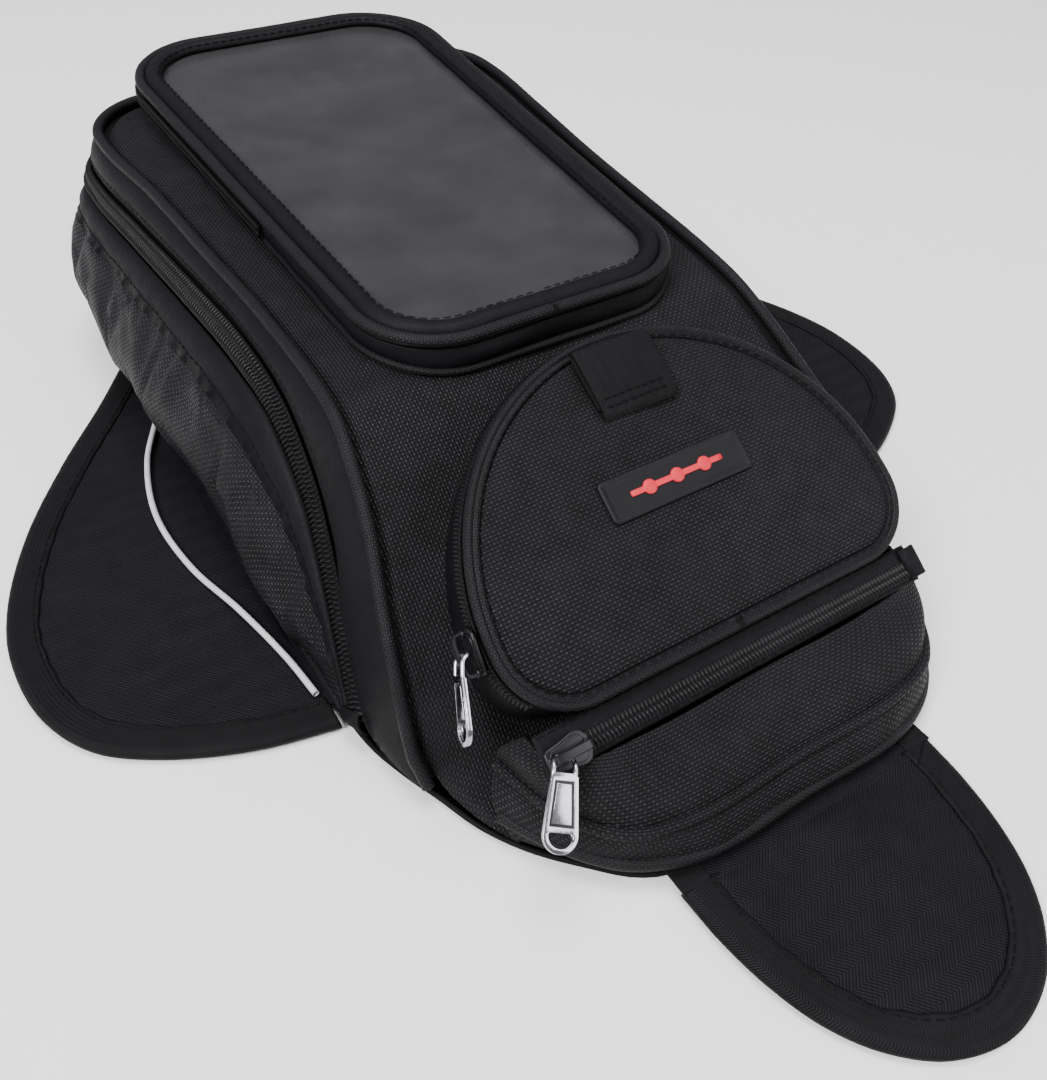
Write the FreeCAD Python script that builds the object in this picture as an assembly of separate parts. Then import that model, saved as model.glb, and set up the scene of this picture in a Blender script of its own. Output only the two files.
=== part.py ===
import FreeCAD, Part
import math
import os
from FreeCAD import Vector

# Magnetic motorcycle tank bag, in millimetres. The wide end of the bag points to +Y, the
# narrow end with its tail flap to -Y, and the flat underside lies on Z = 0. Everything is laid
# out from the corner where the lid starts to slope down, and moved at the end so that the
# origin is under the middle of the whole outline.

# ---- driving dimensions -------------------------------------------------------------------
CENTRE_Y = 33.3            # middle of the overall length in the layout
FABRIC = 2.2               # padded shell fabric: two layers with foam between
GAP = 0.3                  # clearance between pieces that move apart
BASE_T = 1.6               # bottom fabric
BOARD_T = 2.0              # stiffener board in the bottom
SEAT_Z = 3.8               # lowest edge of the lid shell, above bottom fabric
LID_SEAT = 5.0             # the same for the lid's panel
SLOPE = 0.72               # fall of the sloping front, height over length
CREST_Y = 17.0             # where the slope meets the top
CREST_Z = 70.0
REAR_CORNER_R = 29.0       # lid's rounded rear corners, at the piped edge
PIPING = 3.6               # piping cord with its cover
COIL_W = 8.0               # main zip's closed coil
COIL_T = 2.2
TAPE_W = 7.0               # visible zip tape under the coil
WALL_BULGE = 12.0          # how far the padded side walls belly out
LID_HINGE_Y = -103.5       # the lid folds up about the front bottom edge
LID_HINGE_Z = 3.2

PHONE_FRONT = 21.5         # phone pocket rim, front and rear ends
PHONE_REAR = 232.0
PHONE_HALF_FRONT = 53.5    # rim half widths at the front and rear corners
PHONE_HALF_REAR = 60.0
PHONE_R_FRONT = 27.0
PHONE_R_REAR = 31.0
PHONE_Z = 86.0             # rim height at PHONE_Z_Y, and its rise to the rear
PHONE_Z_Y = 34.0
PHONE_TILT = 0.05
PHONE_LID_T = 5.0
FILM_T = 0.6
FILM_INSET = 9.5           # rim's edge to the window's edge

D_ANGLE = 31.5             # front pocket's face, above the horizontal
D_FOOT = (-71.0, 41.0)     # its bottom edge: y, z
D_RADIUS = 66.3            # its round top
D_CENTRE_S = 20.5          # the round top's centre, measured up the face
D_CORNER_R = 20.0
D_LID_T = 4.0
D_WALL_REACH = 32.0

FLAP_T = 3.6               # magnetic flaps, over their binding
BINDING_W = 11.0
MAGNET_R = 9.0
MAGNET_T = 1.3
WING_ROOT_X = 94.3
WING_ROOT_Y = (-20.0, 178.0)
WING_TIP_X = 166.6
TAIL_ROOT_Y = -107.5
TAIL_TIP_Y = -173.5
TAIL_HALF = 44.0

# The lid's piped edge and the main zip below it, from the rear to the front, as matching
# points: (y, half width, height) of the edge, then of the zip's centre line.
SIDE_SEAMS = [
    ((188, 78.5, 79), (188, 85, 64.5)),
    ((150, 74.8, 78.8), (150, 82.7, 65.3)),
    ((110, 72, 77), (110, 80, 66.3)),
    ((70, 69.6, 75.8), (70, 77.6, 66)),
    ((38, 68.8, 74), (47, 77, 62)),
    ((22, 69.3, 71), (34, 77.6, 56)),
    ((8, 71.5, 64), (22, 78.8, 48.5)),
    ((-6, 74.5, 55), (9, 81.5, 38)),
    ((-20, 79, 44), (-4, 85, 26.5)),
    ((-34, 83, 32), (-17, 88.5, 14)),
    ((-44, 85, 16), (-24, 90.3, 8.6)),
]
# Past the zip's end the lid's side goes on down to the bottom: edge, then lowest line.
SIDE_TAIL = [
    ((-48, 84.6, 11), (-33, 89.6, 5.0)),
    ((-51, 84, 6.2), (-44, 86.6, 4.2)),
]
# The bottom's outline from the side to the front: (y, half width).
BASE_OUTLINE = [
    (190, 89), (150, 91.5), (100, 92.5), (0, 92.5), (-28, 91), (-41, 87.3), (-53, 82.5),
    (-66, 77.5), (-78, 70), (-90, 59), (-97.5, 51), (-101.5, 43), (-103, 20), (-103, 0),
]
# Cross sections of the lid's panel, from rear to front: (y, half width, edge height, middle
# height, squareness of the shoulder).
LID_SECTIONS = [
    (221.3, 50, 78.9, 79.4, 4), (216.5, 63, 78.9, 79.9, 4), (206.5, 72.2, 78.9, 80.5, 4),
    (188, 76.2, 79, 81, 4), (150, 72.5, 78.8, 80.5, 4), (110, 69.7, 77, 79, 4),
    (70, 67.3, 75.8, 77.5, 4), (38, 66.5, 74, 75.5, 4), (22, 67, 71, 72, 4),
    (8, 69.2, 64, 63.6, 4), (-6, 72.2, 54.6, 53.6, 4), (-20, 76.7, 43.6, 43.4, 4),
    (-34, 80.7, 31.6, 33.3, 4), (-44, 82.7, 15.6, 26.1, 8), (-52, 81.6, 6.4, 20.3, 7),
    (-60, 79.3, LID_SEAT, 14.6, 6), (-68, 75.8, LID_SEAT, 9.4, 5), (-75, 71, LID_SEAT, LID_SEAT, 4),
]
# Rows round the low front pocket, from its zip down to the bottom: half of each row.
FRONT_ROWS = [
    [(0, -78.5, 30.6), (40, -78.5, 30.6), (55, -77, 30.6), (62, -72.5, 30.8), (64, -64, 31)],
    [(0, -88.8, 24.2), (42, -88.6, 24.2), (55, -84.5, 24.2), (63.5, -74, 24.2), (67, -60, 24.5)],
    [(0, -98, 17.4), (38, -97.6, 17.4), (52, -93, 17.4), (63, -79.5, 17.4), (69.5, -60, 18)],
    [(0, -103.2, 10), (36, -102.6, 10), (52, -96, 10), (64.5, -82.5, 10), (73, -66, 10.5)],
    [(0, -103.8, SEAT_Z), (36, -103.2, SEAT_Z), (52, -96.8, SEAT_Z), (65, -82.6, SEAT_Z),
     (72.4, -73.5, SEAT_Z)],
]
# Half of a wing's outline beyond its root, from the rear to the front: (x, y).
WING_OUTLINE = [
    (WING_ROOT_X, 178), (111, 154), (132, 126.5), (151, 97), (163, 69), (WING_TIP_X, 50),
    (164, 24), (155, 7), (140, -4.5), (118, -14.5), (WING_ROOT_X, -20),
]
# Right half of the tail flap, from root to tip: (x, y).
TAIL_OUTLINE = [
    (TAIL_HALF, TAIL_ROOT_Y), (43, -122), (40, -137), (35.5, -149), (28, -160), (16, -169.5),
    (0, TAIL_TIP_Y),
]
WING_MAGNETS = [(136, 92), (142, 58), (136, 26)]
TAIL_MAGNETS = [(-22, -128), (22, -128), (0, -152)]
REFLECTIVE_ARC = [(96.5, 132), (106, 112), (112, 84), (110, 56), (103.5, 32), (98.5, 8), (96.5, -8)]

os.makedirs("parts", exist_ok=True)


# ---- helpers ------------------------------------------------------------------------------
def unit(v):
    """The vector v at length 1."""
    w = Vector(v)
    w.normalize()
    return w


def write(name, shape):
    """Moves a finished sub-part to the row frame and writes its STEP file."""
    moved = shape.copy()
    moved.translate(Vector(0, -CENTRE_Y, 0))
    if not moved.isValid() or moved.Volume <= 0:
        print("PROBLEM", name, moved.isValid(), moved.Volume)
    box = moved.BoundBox
    print("%-26s %8.0f mm3  %3d solids  x %6.1f %6.1f  y %6.1f %6.1f  z %5.1f %5.1f" % (
        name, moved.Volume, len(moved.Solids), box.XMin, box.XMax, box.YMin, box.YMax,
        box.ZMin, box.ZMax))
    moved.exportStep("parts/%s.step" % name)


def biggest(shape):
    """The largest solid of a shape, without the crumbs that trimming leaves."""
    return max(shape.Solids, key=lambda solid: solid.Volume)


def mirrored(shape):
    """The same piece on the other side of the bag."""
    return shape.mirror(Vector(0, 0, 0), Vector(1, 0, 0))


def slab(outer, inner):
    """A closed panel between two grids of points with the same rows and columns."""
    skins = []
    for grid in (outer, inner):
        skin = Part.BSplineSurface()
        skin.interpolate(grid)
        skins.append(skin)
    top, bottom = skins
    u0, u1, v0, v1 = top.bounds()
    edges = [
        (top.uIso(u0), bottom.uIso(u0)), (top.uIso(u1), bottom.uIso(u1)),
        (top.vIso(v0), bottom.vIso(v0)), (top.vIso(v1), bottom.vIso(v1)),
    ]
    faces = [top.toShape(), bottom.toShape()]
    faces += [Part.makeRuledSurface(a.toShape(), b.toShape()) for a, b in edges]
    shell = Part.makeShell(faces)
    shell.sewShape()
    solid = Part.makeSolid(shell)
    if solid.Volume < 0:
        solid.reverse()
    return solid


def grid_normals(grid, toward):
    """Unit normals of a grid of points, on the side that the function toward(point) gives."""
    rows, cols = len(grid), len(grid[0])
    normals = []
    for i in range(rows):
        row = []
        for j in range(cols):
            along = grid[min(i + 1, rows - 1)][j] - grid[max(i - 1, 0)][j]
            across = grid[i][min(j + 1, cols - 1)] - grid[i][max(j - 1, 0)]
            n = unit(along.cross(across))
            row.append(n if n.dot(toward(grid[i][j])) > 0 else n * -1)
        normals.append(row)
    return normals


def shifted(grid, normals, distance):
    """The grid moved along its normals."""
    return [[p + n * distance for p, n in zip(r, m)] for r, m in zip(grid, normals)]


def panel(grid, toward, outside, inside):
    """A padded panel: the grid's surface thickened by outside and inside."""
    normals = grid_normals(grid, toward)
    return slab(shifted(grid, normals, outside), shifted(grid, normals, -inside))


def spline_face(points, z=0.0):
    """A flat face inside a smooth open outline, closed by a straight edge from end to end."""
    curve = Part.BSplineCurve()
    curve.interpolate([Vector(x, y, z) for x, y in points])
    first, last = points[0], points[-1]
    close = Part.LineSegment(Vector(last[0], last[1], z), Vector(first[0], first[1], z))
    return Part.Face(Part.Wire([curve.toShape(), close.toShape()]))


def inset_face(face, inset):
    """The face's outline drawn in by inset, with its curved part redrawn as one spline."""
    edges = []
    for edge in face.makeOffset2D(-inset).OuterWire.Edges:
        if edge.Curve.TypeId == "Part::GeomLine":
            edges.append(edge)
        else:
            curve = Part.BSplineCurve()
            curve.interpolate(edge.discretize(31))
            edges.append(curve.toShape())
    return Part.Face(Part.Wire(Part.__sortEdges__(edges)))


def local_frame(origin, x_axis, z_axis):
    """A placement whose X and Z point along the two given directions."""
    z = unit(z_axis)
    x = unit(x_axis - z * x_axis.dot(z))
    y = z.cross(x)
    matrix = FreeCAD.Matrix(x.x, y.x, z.x, origin.x, x.y, y.y, z.y, origin.y,
                            x.z, y.z, z.z, origin.z, 0, 0, 0, 1)
    return FreeCAD.Placement(matrix)


def placed(shape, placement):
    """A copy of the shape at a placement."""
    copy = shape.copy()
    copy.Placement = placement.multiply(copy.Placement)
    return copy


# ---- the seams that run round the bag ---------------------------------------------------
def corner_station(angle):
    """The station at an angle of the right rear corner: edge, zip, outward."""
    c, s = math.cos(math.radians(angle)), math.sin(math.radians(angle))
    edge = Vector(49.5 + REAR_CORNER_R * c, 194.5 + REAR_CORNER_R * s, 79)
    return edge, Vector(54 + 31 * c, 196 + 31 * s, 64), Vector(c, s, 0)


def half_seams():
    """Stations from the middle of the rear to the right front: edge, zip, outward."""
    stations = []
    for x in (0.0, 25.0):
        stations.append((Vector(x, 223.5, 79), Vector(x * 1.06, 227, 64), Vector(0, 1, 0)))
    stations += [corner_station(angle) for angle in (90, 70, 45, 20)]
    for (ye, we, ze), (yz, wz, zz) in SIDE_SEAMS:
        stations.append((Vector(we, ye, ze), Vector(wz, yz, zz), Vector(1, 0, 0)))
    return stations


def round_the_bag(half):
    """Both halves of a run of stations, from the right front round the rear to the left."""
    flip = [tuple(Vector(-p.x, p.y, p.z) for p in s) for s in half[1:]]
    return half[::-1] + flip


def upward(station):
    """The direction up the side, from the zip to the lid's edge."""
    return unit(station[0] - station[1])


def seam_normal(stations, i):
    """The outward normal of the band between the zip and the lid's edge at one station."""
    a, b = stations[max(i - 1, 0)], stations[min(i + 1, len(stations) - 1)]
    n = unit((b[1] - a[1]).cross(upward(stations[i])))
    return n if n.dot(stations[i][2]) > 0 else n * -1


def band(stations, low, high, outside, inside):
    """A strip round the bag between two functions of a station, thickened both ways."""
    outer, inner = [], []
    for i, station in enumerate(stations):
        a, b, n = low(station), high(station), seam_normal(stations, i)
        row = [a + (b - a) * t for t in (0.0, 0.5, 1.0)]
        outer.append([p + n * outside for p in row])
        inner.append([p - n * inside for p in row])
    return slab(outer, inner)


HALF = half_seams()
TAIL = [(Vector(e[1], e[0], e[2]), Vector(z[1], z[0], z[2]), Vector(1, 0, 0))
        for e, z in SIDE_TAIL]
LID_SEAMS = round_the_bag(HALF + TAIL)
ZIP_SEAMS = round_the_bag(HALF)


def base_point(y):
    """The half width of the bottom at a length, between the outline's points."""
    for (y1, w1), (y2, w2) in zip(BASE_OUTLINE, BASE_OUTLINE[1:]):
        if y2 <= y <= y1:
            return w2 + (w1 - w2) * (y - y2) / (y1 - y2)
    return BASE_OUTLINE[0][1]


def wall_column(station, fractions):
    """Points down a wall: fraction 0 is just under the zip, 1 is at the bottom fabric."""
    top = station[1] - upward(station) * (COIL_W / 2 + GAP)
    out = station[2]
    if out.y < 0.01:
        side = 1 if out.x > 0 else -1
        foot = Vector(side * base_point(top.y), top.y, BASE_T + GAP)
        belly = WALL_BULGE
    else:
        foot = Vector(math.copysign(57, out.x) if abs(out.x) > 0.01 else top.x, 190, 0)
        foot = foot + out * 32
        foot = Vector(foot.x, foot.y, BASE_T + GAP)
        belly = 5 + 4 * abs(out.x)
    belly *= min(1.0, (top.z - foot.z) / 55.0)
    return [top + (foot - top) * t + out * belly * math.sin(math.pi * t) for t in fractions]


def wall_solid(stations, start, end):
    """A wall between two fractions of its height."""
    fractions = [start + (end - start) * k / 6.0 for k in range(7)]
    grid = [wall_column(s, fractions) for s in stations]
    return panel(grid, lambda p: Vector(p.x, p.y - 100, 0), 0.0, FABRIC)


# ---- the lid's panel ---------------------------------------------------------------------
SHOULDER = (-1, -0.97, -0.9, -0.75, -0.45, 0, 0.45, 0.75, 0.9, 0.97, 1)


def lid_grid():
    """Points of the lid's outer surface, rows from rear to front, columns from left to right."""
    grid = []
    for y, w, edge, middle, power in LID_SECTIONS:
        row = [Vector(u * w, y, edge + (middle - edge) * (1 - abs(u) ** power))
               for u in SHOULDER]
        grid.append(row)
    return grid


def above(point):
    """Up and forward, the outer side of the lid."""
    return Vector(0, -0.3, 1)


def under_lid(rise, depth):
    """The space under the lid's outer surface, to trim what stands on it."""
    grid = lid_grid()
    return slab([[p + Vector(0, -SLOPE * rise, rise) for p in r] for r in grid],
                [[p - Vector(0, 0, depth) for p in r] for r in grid])


# ---- outlines that repeat -----------------------------------------------------------------
def phone_z(y):
    """Height of the phone pocket's rim at a length."""
    return PHONE_Z + PHONE_TILT * (y - PHONE_Z_Y)


def phone_face(inset, drop, tuck=0.0):
    """A face in the rim's tilted plane, with the rim's outline drawn in by inset.

    tuck draws the rear end in further, for the foot of the pocket's wall."""
    wf, wr = PHONE_HALF_FRONT - inset, PHONE_HALF_REAR - inset - 0.5 * tuck
    yf, yr = PHONE_FRONT + inset, PHONE_REAR - inset - tuck
    rf, rr = PHONE_R_FRONT - inset, PHONE_R_REAR - inset
    k = math.sqrt(0.5)

    def at(x, y):
        return Vector(x, y, phone_z(y) - drop)

    def side(s):
        front = Part.Arc(at(s * (wf - rf), yf), at(s * (wf - rf + rf * k), yf + rf - rf * k),
                         at(s * wf, yf + rf))
        rear = Part.Arc(at(s * wr, yr - rr), at(s * (wr - rr + rr * k), yr - rr + rr * k),
                        at(s * (wr - rr), yr))
        return [front, Part.LineSegment(at(s * wf, yf + rf), at(s * wr, yr - rr)), rear]

    edges = side(1) + side(-1)
    edges.append(Part.LineSegment(at(-(wf - rf), yf), at(wf - rf, yf)))
    edges.append(Part.LineSegment(at(-(wr - rr), yr), at(wr - rr, yr)))
    return Part.Face(Part.Wire(Part.__sortEdges__([e.toShape() for e in edges])))


def phone_plate(inset, drop, thickness):
    """A plate along the rim's outline, its top at drop below the rim."""
    return phone_face(inset, drop + thickness).extrude(Vector(0, 0, thickness))


D_UP = Vector(0, math.cos(math.radians(D_ANGLE)), math.sin(math.radians(D_ANGLE)))
D_OUT = Vector(0, -math.sin(math.radians(D_ANGLE)), math.cos(math.radians(D_ANGLE)))
D_FRAME = local_frame(Vector(0, *D_FOOT), Vector(1, 0, 0), D_OUT)


def d_face(inset):
    """The D-shaped outline, drawn in by inset, flat: x across, y up the face."""
    r, c = D_RADIUS - inset, D_CORNER_R - inset
    k = math.sqrt(0.5)
    low, mid = inset, D_CENTRE_S
    flat = D_RADIUS - D_CORNER_R
    edges = [
        Part.Arc(Vector(r, mid, 0), Vector(0, mid + r, 0), Vector(-r, mid, 0)),
        Part.LineSegment(Vector(-r, mid, 0), Vector(-r, low + c, 0)),
        Part.Arc(Vector(-r, low + c, 0), Vector(-flat - c * k, low + c - c * k, 0),
                 Vector(-flat, low, 0)),
        Part.LineSegment(Vector(-flat, low, 0), Vector(flat, low, 0)),
        Part.Arc(Vector(flat, low, 0), Vector(flat + c * k, low + c - c * k, 0),
                 Vector(r, low + c, 0)),
        Part.LineSegment(Vector(r, low + c, 0), Vector(r, mid, 0)),
    ]
    return Part.Face(Part.Wire([e.toShape() for e in edges]))


def d_plate(inset, top, thickness):
    """A plate of the D outline: top is its height over the face, thickness goes inwards."""
    plate = d_face(inset).extrude(Vector(0, 0, thickness))
    plate.translate(Vector(0, 0, top - thickness))
    return placed(plate, D_FRAME)


# ---- zip sliders and pulls ----------------------------------------------------------------
BAR_H = 3.6                # the bridge bar over the slider's plate
BAR_R = 0.7
EYE_R = 2.3                # the pull's ring round the bar
EYE_WALL = 0.6
EYE_W = 1.0


def slider_solid(length, width):
    """A slider: shield-shaped plate, flanges over the coil, and a bridge along the zip."""
    h, w = length / 2.0, width / 2.0
    outline = [(-h, -0.62 * w), (-0.25 * h, -0.8 * w), (0.55 * h, -w), (h, -0.55 * w),
               (h, 0.55 * w), (0.55 * h, w), (-0.25 * h, 0.8 * w), (-h, 0.62 * w)]
    points = [Vector(x, y, 0) for x, y in outline + outline[:1]]
    body = Part.Face(Part.makePolygon(points)).extrude(Vector(0, 0, 1.3))
    for end in (-1, 1):
        post = Part.makeBox(1.4, 2.2, BAR_H + BAR_R + 0.2)
        post.translate(Vector(end * (h - 0.9) - 0.7, -1.1, 0.8))
        body = body.fuse(post)
    bar = Part.makeCylinder(BAR_R, 2 * (h - 0.9), Vector(-h + 0.9, 0, 1.3 + BAR_H - 0.4),
                            Vector(1, 0, 0))
    return body.fuse(bar).removeSplitter()


def pull_solid(length, top_w, bottom_w, thickness, yoke=False):
    """A pull hanging to -Y from its eye at the origin, flat face to +Z, eye along X.

    With a yoke, two prongs straddle the slider's bar and meet in a cross bar under it."""
    eye = Part.makeCylinder(EYE_R + EYE_WALL, EYE_W, Vector(-EYE_W / 2, 0, 0), Vector(1, 0, 0))
    t, b = top_w / 2.0, bottom_w / 2.0
    start = -(EYE_R + EYE_WALL) + 0.4
    low = -length + b
    k = math.sqrt(0.5)
    top = -4.9 if yoke else start
    right = [(t, top), (b, low)] if yoke else [(EYE_W / 2, start), (t, start - 2.2), (b, low)]
    down = [Vector(x, y, 0) for x, y in right]
    back = [Vector(-p.x, p.y, 0) for p in down[::-1]]
    edges = [Part.LineSegment(p, q) for p, q in zip(down, down[1:])]
    edges.append(Part.Arc(down[-1], Vector(0, low - b, 0), back[0]))
    edges += [Part.LineSegment(p, q) for p, q in zip(back, back[1:])]
    edges.append(Part.LineSegment(back[-1], down[0]))
    plate = Part.Face(Part.Wire([e.toShape() for e in edges])).extrude(Vector(0, 0, thickness))
    plate.translate(Vector(0, 0, -thickness / 2))
    hole_r = b - 1.1
    loop = Part.makeCylinder(hole_r, 3 * thickness, Vector(0, low, -1.5 * thickness))
    cut = Part.makeBox(3 * b, 2 * b, 4 * thickness, Vector(-1.5 * b, low, -2 * thickness))
    loop = loop.cut(cut)
    recess_len = (top - 3.4) - (low + 1.0)
    recess = Part.makeBox(2 * (t - 1.0), recess_len, thickness,
                          Vector(-(t - 1.0), low + 1.0, thickness / 2 - 0.35))
    plate_in = Part.makeBox(2 * (t - 1.7), recess_len - 1.4, thickness,
                            Vector(-(t - 1.7), low + 1.7, thickness / 2 - 0.45))
    solid = plate.cut(loop).cut(recess.cut(plate_in))
    if not yoke:
        bore = Part.makeCylinder(EYE_R, 2 * EYE_W, Vector(-EYE_W, 0, 0), Vector(1, 0, 0))
        return solid.fuse(eye).cut(bore).removeSplitter()
    for x in (-t, t - 1.3):
        solid = solid.fuse(Part.makeBox(1.3, 5.5, thickness, Vector(x, -4.9, -thickness / 2)))
        solid = solid.fuse(Part.makeBox(1.3, 1.2, 2.4, Vector(x, -0.6, -2.4)))
    return solid.fuse(Part.makeBox(2 * t, 1.2, 1.1, Vector(-t, -0.6, -2.4))).removeSplitter()


def slider_and_pull(name, seat, along, normal, hang, eye_at, length, width, pull):
    """Writes a slider standing on a coil and its pull hanging along hang."""
    write(name + "_slider", placed(slider_solid(length, width), local_frame(seat, along, normal)))
    n, a = unit(normal), unit(along)
    eye = seat + a * eye_at + n * (1.3 + BAR_H - 0.4)
    down = unit(hang)
    face = unit(n - down * n.dot(down))
    write(name + "_pull", placed(pull_solid(*pull), local_frame(eye, face.cross(down), face)))
    across = face.cross(down)
    pivot = eye - face * 1.85 if len(pull) > 4 else eye
    print("   %s eye at %.2f %.2f %.2f  hinge axis %.4f %.4f %.4f" % (
        name, pivot.x, pivot.y - CENTRE_Y, pivot.z, across.x, across.y, across.z))


# ---- bottom, board and walls -------------------------------------------------------------
def base_face():
    """The bottom's outline: rounded rear corners, curved sides and a blunt front."""
    side = [Vector(w, y, 0) for y, w in BASE_OUTLINE]
    curve = Part.BSplineCurve()
    curve.interpolate(side + [Vector(-p.x, p.y, 0) for p in side[-2::-1]])
    k = math.sqrt(0.5)
    edges = [curve.toShape()]
    for s in (1, -1):
        arc = Part.Arc(Vector(s * 89, 190, 0), Vector(s * (57 + 32 * k), 190 + 32 * k, 0),
                       Vector(s * 57, 222, 0))
        edges.append(arc.toShape())
    edges.append(Part.LineSegment(Vector(57, 222, 0), Vector(-57, 222, 0)).toShape())
    return Part.Face(Part.Wire(Part.__sortEdges__(edges)))


def make_tub():
    """Bottom fabric, stiffener board, the three walls, zip tape, coil and end tabs."""
    write("base_panel", base_face().extrude(Vector(0, 0, BASE_T)))
    board = Part.makeBox(150, 268, BOARD_T, Vector(-75, -56, BASE_T + GAP))
    board = board.makeFillet(24, [e for e in board.Edges if abs(e.tangentAt(0).z) > 0.9])
    write("base_board", board)
    side = HALF[5:]
    split = TAPE_W / 62.0
    right = wall_solid(side, split + 0.035, 1.0)
    write("right_wall", right)
    write("left_wall", mirrored(right))
    ends = HALF[:5] + [corner_station(22.4)]
    write("rear_wall", wall_solid(round_the_bag(ends), split + 0.035, 1.0))
    tape = [wall_column(s, [k * split / 2 for k in range(3)]) for s in ZIP_SEAMS]
    write("lower_zip_tape", panel(tape, lambda p: Vector(p.x, p.y - 100, 0), 0.4, 0.9))
    half = COIL_W / 2
    coil = band(ZIP_SEAMS, lambda s: s[1] - upward(s) * (half - 0.1),
                lambda s: s[1] + upward(s) * (half - 0.1), COIL_T - 0.9, 0.9)
    write("main_zip_coil", coil)
    for name, side in (("right_zip_end_tab", 1), ("left_zip_end_tab", -1)):
        last, before = HALF[-1], HALF[-2]
        up, run = upward(last), unit(last[1] - before[1])
        n = seam_normal(HALF, len(HALF) - 1)
        corners = [last[1] - up * 4.2, last[1] + up * 1.2]
        grid = [[p + run * k + n * 1.5 for p in
                 (corners[0], (corners[0] + corners[1]) * 0.5, corners[1])]
                for k in (0.3, 2.2, 4.2)]
        back = [[p - n * 2.4 for p in row] for row in grid]
        tab = slab(grid, back)
        write(name, tab if side > 0 else mirrored(tab))


# ---- the lid's shell --------------------------------------------------------------------
def make_lid_shell():
    """The lid's big panel, its piped edge and the tape over the main zip."""
    write("lid_panel", panel(lid_grid(), above, 0.0, FABRIC))
    half = PIPING / 2
    piping = band(LID_SEAMS, lambda s: s[0] - upward(s) * half,
                  lambda s: s[0] + upward(s) * half, 2.0, 1.6)
    write("edge_piping", piping)
    tails = [s[1] for s in TAIL] + [Vector(-s[1].x, s[1].y, s[1].z) for s in TAIL]

    def tape_low(s):
        if any((s[1] - t).Length < 0.01 for t in tails):
            return s[1]
        return s[1] + upward(s) * (COIL_W / 2 + 0.5)

    tape = band(LID_SEAMS, tape_low, lambda s: s[0] - upward(s) * 2.4, 0.0, 1.8)
    write("upper_zip_tape", tape)


def make_phone_pocket(trim):
    """The pocket on top: wall, floor, coil, and its lid with the clear window."""
    k = PHONE_LID_T + GAP

    def wall(inset):
        rings = [phone_face(inset, k), phone_face(inset, k + 16.0, 21.0)]
        return Part.makeLoft([f.OuterWire for f in rings], True, True)

    write("phone_pocket_gusset", biggest(wall(1.0).cut(wall(3.0)).cut(trim)))
    strip = phone_plate(13.0, -20, 60).cut(Part.makeBox(200, 80, 200, Vector(-100, -40, 0)))
    grid = lid_grid()
    floor = slab([[p + Vector(0, 0, 0.8) for p in r] for r in grid],
                 [[p + Vector(0, 0, 0.2) for p in r] for r in grid])
    floor = floor.cut(Part.makeBox(400, 60, 200, Vector(-200, 196, 0)))
    write("phone_pocket_floor", biggest(floor.common(strip)))
    coil = phone_plate(-0.8, k + 0.1, 4.0).cut(phone_plate(0.7, k - 1, 8.0))
    write("phone_zip_coil", coil.cut(Part.makeBox(300, 200, 200, Vector(-150, -98, 0))))
    piping = phone_plate(0.0, 0.4, 4.4).cut(phone_plate(3.5, -1, 9.0))
    write("window_piping", piping)
    edge = phone_plate(3.7, 0.0, 2.6).cut(phone_plate(FILM_INSET, -2, 9.0))
    write("window_frame", edge)
    write("window_film", phone_plate(5.5, 2.8, FILM_T))


def make_d_pocket(trim):
    """The front pocket: wall, coil, and its lid with piping, webbing loop and label."""
    k = D_LID_T + GAP
    wall = d_plate(1.0, -k, D_WALL_REACH).cut(d_plate(3.0, 5, D_WALL_REACH + 20)).cut(trim)
    write("d_pocket_gusset", biggest(wall))
    coil = d_plate(-0.8, -k - 0.3, 4.6).cut(d_plate(0.7, 5, 40))
    foot = Part.makeBox(200, 14, 80, Vector(-100, -8, -60))
    write("d_zip_coil", coil.cut(placed(foot, D_FRAME)))
    write("d_piping", d_plate(0.0, 0.0, D_LID_T).cut(d_plate(3.6, 5, 40)))
    write("d_face_panel", d_plate(3.8, -0.4, FABRIC))
    loop = Part.makeBox(24, 17, 3.0, Vector(-12, 64.5, -0.1))
    write("webbing_loop", placed(loop.makeFillet(1.2, loop.Edges), D_FRAME))
    patch = Part.makeBox(46, 12, 1.0, Vector(-23, 37, -0.1))
    patch = patch.makeFillet(1.5, [e for e in patch.Edges if abs(e.tangentAt(0).z) > 0.9])
    motif = Part.makeBox(30, 1.6, 0.5, Vector(-15, 42.2, 1.0))
    for x in (-9, 0, 9):
        motif = motif.fuse(Part.makeCylinder(2.0, 0.5, Vector(x, 43, 1.0)))
    write("label_patch", placed(patch, D_FRAME))
    write("label_motif", placed(motif.removeSplitter(), D_FRAME))


FRONT_N = Vector(0, -0.54, 0.84)
FRONT_ZIP = Vector(0, -73.0, 33.75)        # middle of the front zip's tape, outer surface
FRONT_FRAME = local_frame(FRONT_ZIP, Vector(1, 0, 0), FRONT_N)
FRONT_COIL_V = -1.55                       # coil's middle below the tape's middle


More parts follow.
